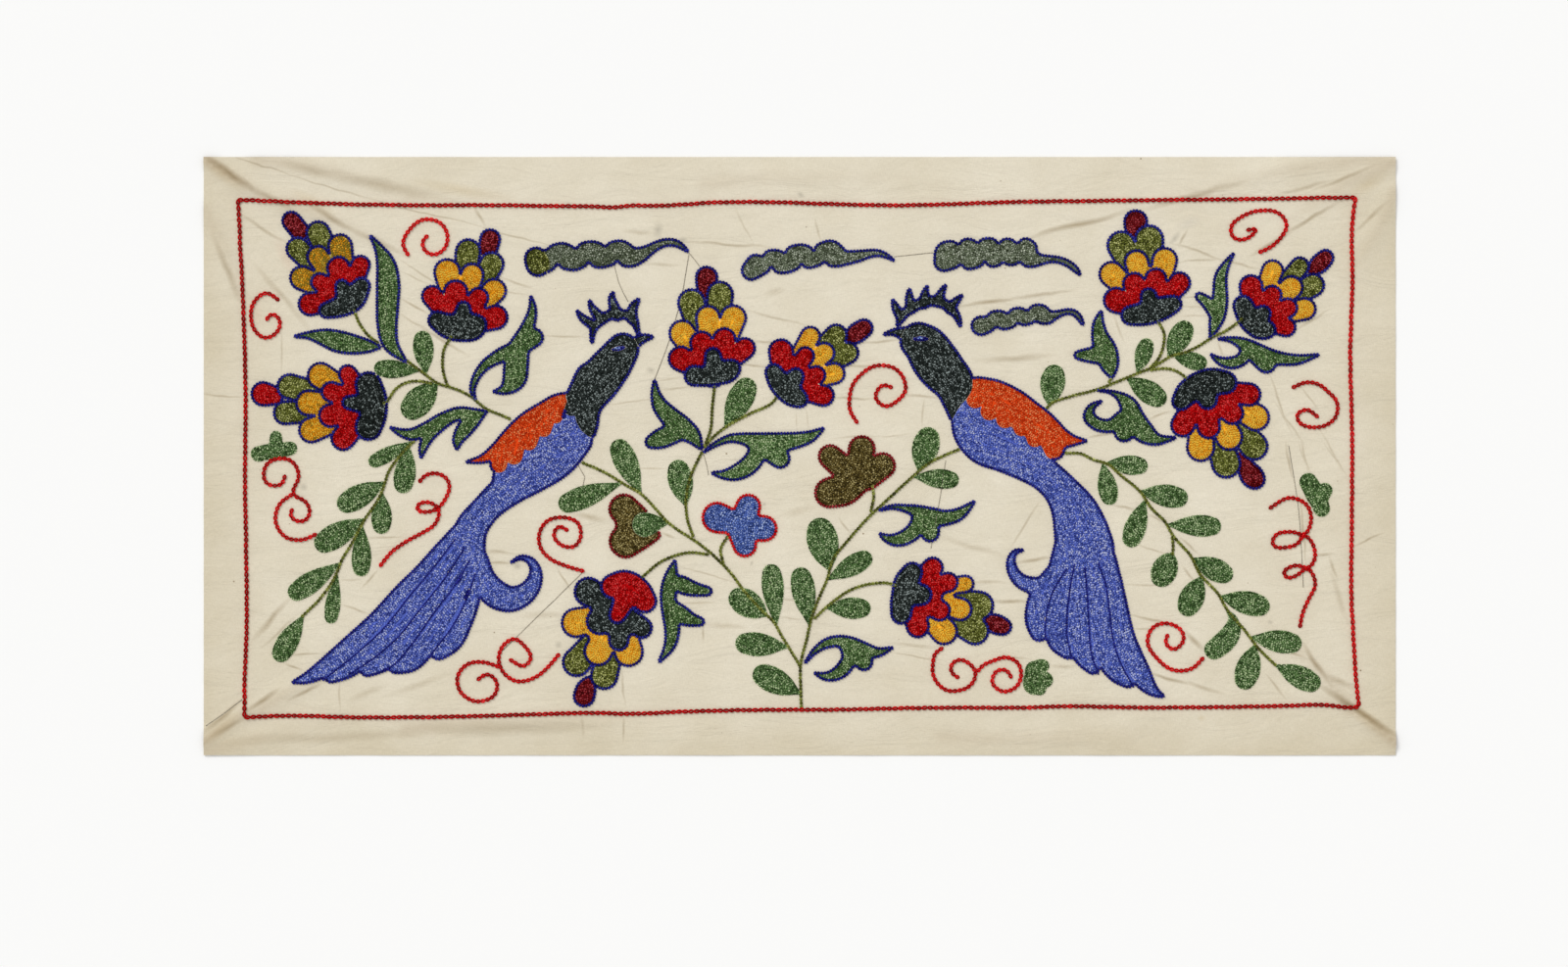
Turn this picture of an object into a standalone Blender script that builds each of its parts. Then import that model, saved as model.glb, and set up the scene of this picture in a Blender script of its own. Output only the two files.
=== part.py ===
"""An embroidered table runner, lying face up: one rectangle of plain cotton with its turned edges.

The cloth was pulled tight at its corners, so soft folds run in from them. Everything is in metres,
+X along the runner, +Y across it, +Z up. The origin is under the middle of the cloth.
"""

import math
from typing import NamedTuple

import bmesh
import bpy

LENGTH = 1.000
WIDTH = 0.502
# The cotton with its turned edge, and the silk lying on it, measured together.
THICKNESS = 0.0016
CORNER_RADIUS = 0.0015

# The mesh is coarse where the cloth is flat, and is halved twice close to a fold.
CELLS_ALONG = 32
CELLS_ACROSS = 16
HALVINGS = 2
# An edge this much of a cell long is a whole one, and a shorter one was halved already.
WHOLE_EDGE_SHARE = 0.7
# A fold dies away at this many of its half widths from its line.
FOLD_REACH = 2.1
SHARP_ANGLE = math.radians(40)
ROUNDING_ERROR = 1e-6

COTTON_COLOUR = (0.66, 0.60, 0.46, 1.0)
COTTON_ROUGHNESS = 0.9

HALF_LENGTH = LENGTH / 2
HALF_WIDTH = WIDTH / 2


class Fold(NamedTuple):
    """A soft ridge in the cloth from (x0, y0) to (x1, y1), with its height at both ends and midway."""

    x0: float
    y0: float
    x1: float
    y1: float
    bow: float
    half_width: float
    height_start: float
    height_middle: float
    height_end: float


FOLDS = (
    # Top left corner: the pull fold, where it goes on past the frame, and two soft ones beside it.
    Fold(-0.497, 0.248, -0.428, 0.209, -0.002, 0.0055, 0.0030, 0.0034, 0.0012),
    Fold(-0.430, 0.212, -0.345, 0.173, 0.004, 0.0070, 0.0010, 0.0022, 0.0000),
    Fold(-0.455, 0.249, -0.318, 0.217, 0.004, 0.0080, 0.0012, 0.0018, 0.0000),
    Fold(-0.499, 0.205, -0.470, 0.132, 0.003, 0.0070, 0.0014, 0.0016, 0.0000),
    # Top right corner: three fans of the pull.
    Fold(0.497, 0.246, 0.417, 0.201, -0.004, 0.0070, 0.0022, 0.0018, 0.0000),
    Fold(0.492, 0.249, 0.330, 0.221, -0.005, 0.0080, 0.0012, 0.0018, 0.0000),
    Fold(0.499, 0.222, 0.455, 0.150, 0.005, 0.0070, 0.0016, 0.0016, 0.0000),
    # Bottom left corner.
    Fold(-0.499, -0.240, -0.447, -0.208, 0.003, 0.0055, 0.0026, 0.0024, 0.0010),
    Fold(-0.452, -0.212, -0.398, -0.184, 0.002, 0.0065, 0.0010, 0.0018, 0.0000),
    Fold(-0.498, -0.249, -0.395, -0.228, 0.003, 0.0075, 0.0010, 0.0014, 0.0000),
    # Bottom right corner: the sharpest pull, running far in.
    Fold(0.499, -0.240, 0.460, -0.213, -0.001, 0.0050, 0.0036, 0.0034, 0.0018),
    Fold(0.462, -0.214, 0.384, -0.136, -0.006, 0.0065, 0.0016, 0.0022, 0.0000),
    # The margins: a long swell in each.
    Fold(-0.330, -0.229, -0.160, -0.222, 0.003, 0.0080, 0.0000, 0.0018, 0.0000),
    Fold(0.120, -0.236, 0.300, -0.231, -0.003, 0.0080, 0.0000, 0.0013, 0.0000),
    Fold(-0.080, 0.229, 0.090, 0.233, 0.003, 0.0080, 0.0000, 0.0012, 0.0000),
)


def clear_scene() -> None:
    """Removes every object that the file opened with."""
    for obj in list(bpy.data.objects):
        bpy.data.objects.remove(obj)


def place_in_fold(fold: Fold, x: float, y: float) -> tuple[float, float]:
    """Where a point lies in a fold.

    Args:
        fold: the fold.
        x, y: the point.

    Returns:
        Its share of the way along the fold, and its distance from the fold's bowed line.
    """
    run_x, run_y = fold.x1 - fold.x0, fold.y1 - fold.y0
    run = math.hypot(run_x, run_y)
    from_start_x, from_start_y = x - fold.x0, y - fold.y0
    share = (from_start_x * run_x + from_start_y * run_y) / run**2
    aside = (from_start_y * run_x - from_start_x * run_y) / run
    inside = min(max(share, 0.0), 1.0)
    past_end = (share - inside) * run
    aside -= fold.bow * 4 * inside * (1 - inside)
    return inside, math.hypot(aside, past_end)


def fold_height(fold: Fold, x: float, y: float) -> float:
    """How far one fold lifts the cloth at a point: a rounded ridge that dies away on both sides."""
    share, distance = place_in_fold(fold, x, y)
    if distance >= FOLD_REACH * fold.half_width:
        return 0.0
    early, late = min(2 * share, 1.0), max(2 * share - 1, 0.0)
    crest = fold.height_start + (fold.height_middle - fold.height_start) * early
    crest += (fold.height_end - fold.height_middle) * late
    return crest * math.cos(math.pi / 2 * distance / (FOLD_REACH * fold.half_width)) ** 2


def lift(x: float, y: float) -> float:
    """The height of the cloth's underside over the surface: the highest fold there, or none."""
    return max(fold_height(fold, x, y) for fold in FOLDS)


def near_fold(x: float, y: float, margin: float) -> bool:
    """Whether a point is on the slope of a fold, or within the margin of it."""
    return any(
        place_in_fold(fold, x, y)[1] < FOLD_REACH * fold.half_width + margin for fold in FOLDS
    )


def flat_rectangle() -> bmesh.types.BMesh:
    """The cloth's rectangle as a flat grid of equal cells."""
    mesh = bmesh.new()
    bmesh.ops.create_grid(mesh, x_segments=CELLS_ALONG, y_segments=CELLS_ACROSS, size=1.0)
    bmesh.ops.scale(mesh, vec=(HALF_LENGTH, HALF_WIDTH, 1.0), verts=mesh.verts)
    return mesh


def refine_near_folds(mesh: bmesh.types.BMesh) -> None:
    """Halves the grid's cells where a fold crosses them, so that its ridge has points to rise on."""
    cell = LENGTH / CELLS_ALONG
    for _ in range(HALVINGS):
        crossed = [
            face for face in mesh.faces if near_fold(*face.calc_center_median().xy, margin=cell / 4)
        ]
        shortest = WHOLE_EDGE_SHARE * cell
        edges = {edge for face in crossed for edge in face.edges if edge.calc_length() > shortest}
        bmesh.ops.subdivide_edges(mesh, edges=list(edges), cuts=1, use_grid_fill=True)
        cell /= 2
    bmesh.ops.triangulate(mesh, faces=mesh.faces)


def round_corners(mesh: bmesh.types.BMesh) -> None:
    """Draws the four outermost points in, as a turned corner is never quite sharp."""
    drawn_in = CORNER_RADIUS * (1 - math.sqrt(0.5))
    for vert in mesh.verts:
        at_end = abs(vert.co.x) > HALF_LENGTH - ROUNDING_ERROR
        if at_end and abs(vert.co.y) > HALF_WIDTH - ROUNDING_ERROR:
            vert.co.x -= math.copysign(drawn_in, vert.co.x)
            vert.co.y -= math.copysign(drawn_in, vert.co.y)


def thicken(mesh: bmesh.types.BMesh) -> None:
    """Gives the surface its thickness straight down, so that its flat parts have a flat underside."""
    made = bmesh.ops.extrude_face_region(mesh, geom=mesh.faces)["geom"]
    top = [item for item in made if isinstance(item, bmesh.types.BMVert)]
    bmesh.ops.translate(mesh, vec=(0, 0, THICKNESS), verts=top)
    bmesh.ops.recalc_face_normals(mesh, faces=mesh.faces)


def cotton() -> bpy.types.Material:
    """Unbleached cotton: pale, warm and without gloss."""
    material = bpy.data.materials.new("unbleached_cotton")
    material.use_nodes = True
    shader = material.node_tree.nodes["Principled BSDF"]
    shader.inputs["Base Color"].default_value = COTTON_COLOUR
    shader.inputs["Roughness"].default_value = COTTON_ROUGHNESS
    shader.inputs["Metallic"].default_value = 0.0
    return material


def build_ground_cloth(collection: bpy.types.Collection) -> bpy.types.Object:
    """Makes the runner's one piece, the cotton rectangle with its folds.

    Args:
        collection: the collection that takes it.

    Returns:
        The new object.
    """
    mesh = flat_rectangle()
    refine_near_folds(mesh)
    for vert in mesh.verts:
        vert.co.z = lift(vert.co.x, vert.co.y)
    round_corners(mesh)
    thicken(mesh)
    data = bpy.data.meshes.new("ground_cloth")
    mesh.to_mesh(data)
    mesh.free()
    data.shade_smooth()
    data.set_sharp_from_angle(angle=SHARP_ANGLE)
    data.materials.append(cotton())
    cloth = bpy.data.objects.new("ground_cloth", data)
    collection.objects.link(cloth)
    return cloth


def main() -> None:
    """Builds the runner in a collection of its own."""
    clear_scene()
    runner = bpy.data.collections.new("table_runner")
    bpy.context.scene.collection.children.link(runner)
    build_ground_cloth(runner)


main()
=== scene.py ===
"""Suzani table runner: unbleached cotton worked in silk chain stitch, laid flat and seen from above."""
import logging
import math
from dataclasses import dataclass, field
from enum import Enum
from itertools import cycle
from typing import Iterable, NamedTuple, Optional, Sequence

import bpy
import numpy as np
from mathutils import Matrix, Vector
from mathutils.geometry import delaunay_2d_cdt


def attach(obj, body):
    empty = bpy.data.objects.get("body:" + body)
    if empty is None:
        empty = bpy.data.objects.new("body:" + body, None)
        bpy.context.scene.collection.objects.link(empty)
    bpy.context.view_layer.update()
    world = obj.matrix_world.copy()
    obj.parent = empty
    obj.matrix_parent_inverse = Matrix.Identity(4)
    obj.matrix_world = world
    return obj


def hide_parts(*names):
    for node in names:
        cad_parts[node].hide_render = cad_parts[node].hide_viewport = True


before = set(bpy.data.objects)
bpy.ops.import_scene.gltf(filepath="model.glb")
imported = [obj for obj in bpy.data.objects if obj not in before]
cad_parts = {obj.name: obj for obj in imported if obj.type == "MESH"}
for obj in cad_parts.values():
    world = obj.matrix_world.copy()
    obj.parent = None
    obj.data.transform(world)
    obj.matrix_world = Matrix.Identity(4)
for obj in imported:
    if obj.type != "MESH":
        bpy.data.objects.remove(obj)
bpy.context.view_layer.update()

LOG = logging.getLogger("suzani")
MM = 0.001
CLOTH_LENGTH = 1000.0
CLOTH_WIDTH = 502.0
# The layout below is in pixels of the photograph, counted from its left and its top. All of it but the
# border was placed one by one.
# There the cloth is this many pixels long, with its middle at this pixel.
PHOTO_LENGTH = 1216.0
PHOTO_MIDDLE = (816.0, 465.5)
PIXEL = CLOTH_LENGTH / PHOTO_LENGTH
ROOT_BODY = "root"
FINISH_MAP = "OFBake"

Colour = tuple[int, int, int]
Points = Sequence[tuple[float, ...]]
# The points of a mesh, the three corners of each triangle, and each point's place on the finish map.
MeshParts = tuple[np.ndarray, np.ndarray, np.ndarray]


class Thread(Enum):
    """The silks, each under the name that its material's name is made from."""

    NAVY = "navy_silk"
    BLUE = "blue_silk"
    SKY = "sky_blue_silk"
    LEAF = "leaf_green_silk"
    OLIVE = "olive_silk"
    GREY_GREEN = "grey_green_silk"
    BOTTLE = "bottle_green_silk"
    GOLD = "gold_silk"
    RED = "red_silk"
    MAROON = "maroon_silk"
    BROWN = "brown_silk"
    ORANGE = "orange_silk"
    COTTON = "unbleached_cotton"


class Group(Enum):
    """The parts of the embroidery that are joined to one piece for each silk."""

    LEFT_BIRD = "left_bird"
    RIGHT_BIRD = "right_bird"
    FLOWERS = "flowers"
    SMALL_FLOWERS = "small_flowers"
    TREFOILS = "trefoils"
    OUTLINED_LEAVES = "outlined_leaves"
    SPRAY_LEAVES = "spray_leaves"
    CLOUD_BANDS = "cloud_bands"
    STEMS = "stems"
    CURLS = "curls"
    BORDER = "border"
    CARRIED = "carried_thread"


class Motif(NamedTuple):
    """A patch of fill stitch: strokes of varying width, its edging silk and its inner seams.

    A joined one meets its neighbours of the same group without an edging between them.
    """

    group: Group
    thread: Thread
    edge: Optional[Thread]
    strokes: Sequence[Points]
    seams: Sequence[Points] = ()
    joined: bool = False
    tone: float = 0.5


class Flower(NamedTuple):
    """A stepped flower: each row of petals lies over the next one out, and a cup holds them all."""

    tip: Points
    olive: Points
    gold: Points
    petals: Points
    cup: Sequence[Points]
    heart: tuple[float, float, float]
    petal_thread: Thread = Thread.RED
    cup_thread: Thread = Thread.BOTTLE
    tip_thread: Thread = Thread.MAROON
    gold_tone: float = 0.9
    cup_tone: float = 0.5


class Fold(NamedTuple):
    """A soft fold of the cloth between two points, in metres, with its height along the way."""

    x0: float
    y0: float
    x1: float
    y1: float
    bow: float
    half_width: float
    height_start: float
    height_middle: float
    height_end: float


class Tint(Enum):
    """What a smudge does to the cotton's red, green and blue."""

    PINK = (0.97, 0.88, 0.86, 1)
    BLUE = (0.9, 0.91, 0.95, 1)
    GREY = (0.66, 0.66, 0.66, 1)
    TAN = (0.9, 0.85, 0.76, 1)


class StrandCut(NamedTuple):
    """A cut across one strand of a chain link, as shares of the link's length, width, height and girth."""

    along: float
    aside: float
    lift: float
    girth: float


# The layout of the embroidery. A stroke's points are (x, y, half width), and a line's points are (x, y).
FLOWERS = (
    Flower(
        tip=((297.5, 225.5, 9.3), (306, 236, 9.3)),
        olive=((324.8, 238.2, 12), (304, 254, 11.5)),
        gold=((347.2, 251.4, 12), (324.8, 262.2, 11), (308.2, 283.8, 12)),
        petals=((367.9, 270.5, 9.5), (345.5, 273.8, 11.5), (326.5, 288, 9), (316.5, 310.3, 11.5)),
        cup=(
            ((333, 317, 7.5), (347, 313, 10), (360, 305, 12), (369, 292, 8.5)),
            ((349, 292, 6.5), (352, 302, 9)),
        ),
        heart=(355.5, 304.5, 12),
        gold_tone=0.27,
    ),
    Flower(
        tip=((500.2, 244.1, 10), (498, 254, 9.5)),
        olive=((477.8, 256.9, 12.5), (501.8, 269.7, 12)),
        gold=((456.3, 277.6, 13), (481.8, 280.8, 11.5), (504.2, 296.8, 12)),
        petals=((441.2, 302.4, 10.5), (465, 298.4, 12), (488.2, 304, 10), (505.8, 323.9, 12)),
        cup=(
            ((446, 327, 9), (458, 333, 12), (472, 334, 14), (484, 333, 12), (489, 330, 7)),
            ((473, 315, 7), (472, 328, 10)),
        ),
        heart=(468, 335, 12),
        gold_tone=0.78,
    ),
    Flower(
        tip=((268.9, 402, 12), (280, 404, 9)),
        olive=((295.7, 394.6, 12.5), (291, 421.4, 11.5)),
        gold=((327.2, 383.5, 13), (315, 411.3, 12.5), (317.9, 439, 12.5)),
        petals=((354.9, 381.7, 9), (338.3, 400, 10), (337.3, 424.2, 11.5), (350.3, 447.3, 12)),
        cup=(
            ((376, 393, 13), (381, 407, 13), (381, 423, 13), (376, 436, 13)),
            ((356, 411, 6.5), (372, 412, 10)),
        ),
        heart=(378, 415, 14),
        tip_thread=Thread.RED,
        cup_tone=0.36,
        gold_tone=0.62,
    ),
    Flower(
        tip=((721, 283.2, 10.8), (720.5, 293, 9), (719.8, 302, 4)),
        olive=((705.7, 309, 13.5), (734.7, 300.7, 13)),
        gold=((696.2, 340.2, 13), (722.4, 324.5, 12), (748.3, 324.7, 12.8)),
        petals=((694.7, 366, 12.2), (716, 350.2, 11.7), (739.1, 346.8, 11.5), (759.8, 355.6, 10.5)),
        cup=(
            ((708.5, 383.5, 10), (720, 384, 9.6), (734, 381, 11), (743, 378.3, 10.8), (747, 376, 8.5)),
            ((727.5, 363.3, 8), (729, 376, 10)),
        ),
        heart=(727.5, 383, 12),
    ),
    Flower(
        tip=((881.3, 335, 9), (873, 341, 9.3), (866, 347.5, 4)),
        olive=((853.2, 342.3, 11), (864.7, 360.2, 11)),
        gold=((826.9, 343.4, 9.8), (840.8, 360.4, 10.5), (851.2, 381.2, 10.5)),
        petals=((796.9, 358.8, 12.3), (821.8, 363.3, 8.9), (833, 383, 9.2), (840.3, 403.8, 10.5)),
        cup=(
            ((789.5, 380, 8.5), (794.5, 389, 10.5), (802, 398, 11), (811, 404.5, 10.5),
             (816, 407.5, 8.2)),
            ((812, 384, 8), (806, 392, 11)),
        ),
        heart=(799, 394, 12),
    ),
    Flower(
        tip=((1158.7, 226.5, 11.7), (1157.5, 234.5, 8.5), (1157.2, 240, 4)),
        olive=((1144.2, 250.6, 14.2), (1172.5, 244.4, 14.2)),
        gold=((1134.2, 279.9, 12.4), (1159.6, 267.6, 11.8), (1188.5, 265.6, 12.4)),
        petals=((1139, 306.5, 12.6), (1157.3, 289.8, 11.3), (1179.3, 285.1, 10.9), (1203.5, 288.8, 10.8)),
        cup=(
            ((1153.5, 322, 9.3), (1164, 321, 10.8), (1177, 318, 11.5), (1189, 313.5, 10.5),
             (1197, 310.5, 8.5)),
            ((1172, 302.5, 8), (1174, 315, 10)),
        ),
        heart=(1177, 319, 11),
    ),
    Flower(
        tip=((1352.5, 263, 8), (1346, 269.5, 9), (1338.5, 276, 5)),
        olive=((1326.3, 272, 9.3), (1339.5, 291, 11.4)),
        gold=((1298.4, 276.4, 10.7), (1317.4, 293.6, 11.5), (1331.2, 315.4, 11)),
        petals=((1276.5, 292.9, 11.8), (1297.9, 301.2, 9.6), (1313.8, 314.4, 9.7), (1312.3, 333.8, 9.5)),
        cup=(
            ((1268.5, 312, 10), (1273, 322, 11), (1280, 331, 11.2), (1288, 335.5, 10.5),
             (1293, 336.5, 8.5)),
            ((1288.5, 320, 8), (1283, 326, 10)),
        ),
        heart=(1279, 327, 11),
    ),
    Flower(
        tip=((1267, 466.5, 6.5), (1272.5, 479, 9.3), (1278, 486.5, 11.2), (1280.3, 489, 10)),
        olive=((1279.3, 455.5, 13.9), (1251, 473, 14.4)),
        gold=((1281.4, 426, 13.3), (1254, 445.7, 13.3), (1225, 456.8, 13.7)),
        petals=((1274.5, 402.7, 11.4), (1257.3, 421.8, 11), (1233.2, 435.8, 11.5), (1207, 433.5, 12)),
        cup=(
            ((1205, 409.5, 9), (1213, 400, 12), (1225, 392.5, 13), (1240, 389.5, 13),
             (1250.5, 390.5, 11)),
            ((1232, 408, 9.5), (1230, 398, 12)),
        ),
        heart=(1227.5, 396.5, 12),
        cup_tone=0.36,
    ),
    Flower(
        tip=((596, 710.5, 10.4), (598, 703, 9.5), (601, 695, 4.5)),
        olive=((588.5, 676, 14), (616.5, 689.8, 13.4)),
        gold=((588, 635.6, 14.5), (610.5, 664.8, 14), (641.5, 665.3, 14.3)),
        petals=((600.6, 604, 14.2), (612.1, 634, 13.2), (631.4, 654, 9.8), (654.8, 640.8, 10.3)),
        cup=(
            ((625.5, 598.5, 12), (637, 597, 14.3), (650, 604, 14), (658, 613.5, 11.5)),
            ((640, 607, 12), (634, 620, 9.5), (630, 628, 8)),
        ),
        heart=(634, 624, 13),
        petal_thread=Thread.BOTTLE,
        cup_thread=Thread.RED,
    ),
    Flower(
        tip=((1003.5, 634, 3.5), (1012, 635.5, 8.8), (1020, 638.5, 9.3), (1023.5, 639.5, 8.3)),
        olive=((999.2, 618, 14), (994.7, 643.8, 13.8)),
        gold=((985, 596, 8.4), (980, 621.8, 11.2), (963.1, 644.3, 13.2)),
        petals=((951.7, 579.5, 10.3), (967.6, 594.3, 9.7), (959, 623.1, 10.2), (936.5, 639, 11.4)),
        cup=(
            ((931, 584, 9.8), (925, 594, 11.8), (922, 606, 11.5), (920, 618, 11), (919.5, 626.5, 10)),
            ((940, 607, 10.3), (930, 606, 12)),
        ),
        heart=(925, 606, 11),
    ),
)

OUTLINED_LEAVES = (
    # Tall leaf beside the first flower.
    (
        ((377.5, 240.3, 0.5), (387, 254, 4.2), (394, 270, 9), (396, 290, 11.3), (395.5, 310, 10.8),
         (395, 330, 9.8), (398, 350, 7.5), (415, 370, 0.5)),
    ),
    # Long leaf under the first flower.
    (
        ((299.8, 343.4, 0.5), (315, 342.3, 3.2), (331, 344.5, 8), (347, 349, 10.5), (363, 352, 8.8),
         (377, 353.5, 5.5), (389, 354.3, 0.5)),
    ),
    # Curled leaf beside the second flower.
    (
        ((541.5, 302, 0.5), (543.5, 315, 3.4), (538, 335, 6.5), (529, 355, 10)),
        ((530, 354, 9), (545, 344.5, 9)),
        ((530, 357, 10), (509, 364, 6.5), (494, 374, 4.5), (485.5, 386, 3.2), (482, 398, 2.2),
         (485, 409, 0.5)),
        ((529, 358, 10.5), (526.5, 374, 12), (525, 387, 11), (516, 397, 5), (503, 400, 0.5)),
    ),
    # Branched leaf under the left stem.
    (
        ((497.5, 420, 0.5), (484, 424, 6.5), (468, 422.5, 6.5), (452, 428, 6.2), (436, 437, 6),
         (420, 443.5, 5.5), (408, 441, 3), (398, 436, 0.5)),
        ((460, 425, 6), (446, 436, 6), (437, 446, 5.2), (432, 456, 4), (429.8, 467.7, 0.5)),
        ((488, 424, 5.5), (480, 431, 8), (472, 441, 7.2), (467, 450, 4.5), (466.5, 459.3, 0.5)),
    ),
    # Leaf left of the middle fork.
    (
        ((668, 387.4, 0.5), (668.5, 399, 3.5), (673, 413, 7), (683, 425, 9.5), (695, 436, 11),
         (706, 444, 8), (716.3, 459, 0.5)),
        ((696, 437, 10), (684, 443.5, 10), (672, 448.5, 9), (665, 451, 6.3)),
    ),
    # Leaf right of the middle fork.
    (
        ((717.7, 461.7, 0.5), (730, 453.5, 2), (745, 447.5, 3.5), (760, 448, 5.5), (775, 452, 9.5),
         (792, 452, 9.7), (812, 449.5, 7.5), (826, 446, 5.5), (840.9, 436.9, 0.5)),
        ((780, 455, 10), (791, 463, 11), (796, 468, 9.5)),
        ((775, 454, 9.5), (772, 464, 9), (765, 474, 9), (752, 482, 7.5), (739, 484.5, 4),
         (725.7, 482.5, 0.5)),
    ),
    # Three pointed leaf beside the lower left flower.
    (
        ((688.7, 571.9, 0.5), (686, 583, 4.5), (683, 598, 7.5), (682, 613, 7.5), (684, 628, 7.5),
         (686, 643, 7), (684, 657, 5.5), (672.2, 676.3, 0.5)),
        ((684, 592, 6), (696, 597, 8.3), (710, 601.7, 6.3), (722, 603.4, 4.3)),
        ((683, 618, 6.5), (694, 627, 9), (706, 632.7, 6), (714.5, 634.5, 4)),
    ),
    # Leaf under the right hand stem.
    (
        ((896.5, 521, 0.5), (910, 517.5, 1.8), (925, 519, 3.5), (938, 523, 6.5), (950, 528, 9.3),
         (963, 528.7, 7.3), (977, 525.5, 6), (994.8, 511.5, 0.5)),
        ((942, 530, 9.5), (947.5, 538, 10), (949, 543.5, 9)),
        ((938, 528, 7), (935, 539, 7.7), (927, 546.5, 7.5), (915, 551, 6), (905, 549.5, 3.5),
         (897, 544.5, 0.5)),
    ),
    # Leaf near the foot of the stem.
    (
        ((820.9, 677.2, 0.5), (832, 664, 2.5), (844, 656.5, 4.5), (857, 654.5, 5.5), (869, 660, 9),
         (882, 663.7, 7.3), (895, 666, 4.5), (911, 660.7, 0.5)),
        ((871, 662, 9), (879, 671, 10), (881.5, 675.5, 8.5)),
        ((866, 661, 8), (866.5, 672, 7), (860, 683, 7), (850, 689.3, 5.2), (840, 690, 3),
         (831, 686.7, 0.5)),
    ),
    # Small leaf over the far right stem.
    (
        ((1259, 258.6, 0.5), (1251, 270, 3.2), (1245.5, 283, 5.8), (1245, 297, 6.8), (1244.5, 311, 7.5),
         (1241.5, 325, 7), (1234.7, 345.7, 0.5)),
        ((1240, 318, 7.5), (1231, 308, 5.5), (1223.5, 302.5, 3.8)),
    ),
    # Long leaf on the far right.
    (
        ((1242.3, 345.7, 0.5), (1254, 346.2, 2), (1266, 350, 5), (1277, 357, 8.5), (1291, 363.5, 8.5),
         (1306, 366, 6.3), (1322, 367.2, 4.8), (1346.6, 362, 0.5)),
        ((1284, 364, 9), (1292, 370.5, 9.8)),
        ((1273, 359, 6.5), (1266, 367.5, 5.8), (1255, 370.5, 5.4), (1245, 368.5, 3.4),
         (1235, 361.5, 0.5)),
    ),
    # Leaf over the right spray.
    (
        ((1123.7, 316.7, 0.5), (1120.8, 330, 5), (1122.5, 344, 8), (1128, 358, 11), (1131.5, 370, 9.5),
         (1134.5, 386.5, 0.5)),
        ((1126, 362, 9.5), (1112, 362.5, 7), (1100, 362.5, 4)),
    ),
    # Curled leaf under the right spray.
    (
        ((1119.4, 398.5, 0.5), (1132, 399.8, 1.2), (1143, 405, 4), (1151, 413, 8), (1157, 428, 10.8),
         (1166, 440, 10.5), (1178, 448, 6), (1200.2, 446.8, 0.5)),
        ((1154, 425, 10.5), (1149, 437, 11), (1147, 440.5, 10)),
        ((1146, 427, 8), (1133, 434.5, 6.3), (1119, 432.5, 6), (1111, 424.5, 5.3), (1113, 416.5, 3.2),
         (1124.7, 409, 0.5)),
    ),
)

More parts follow.
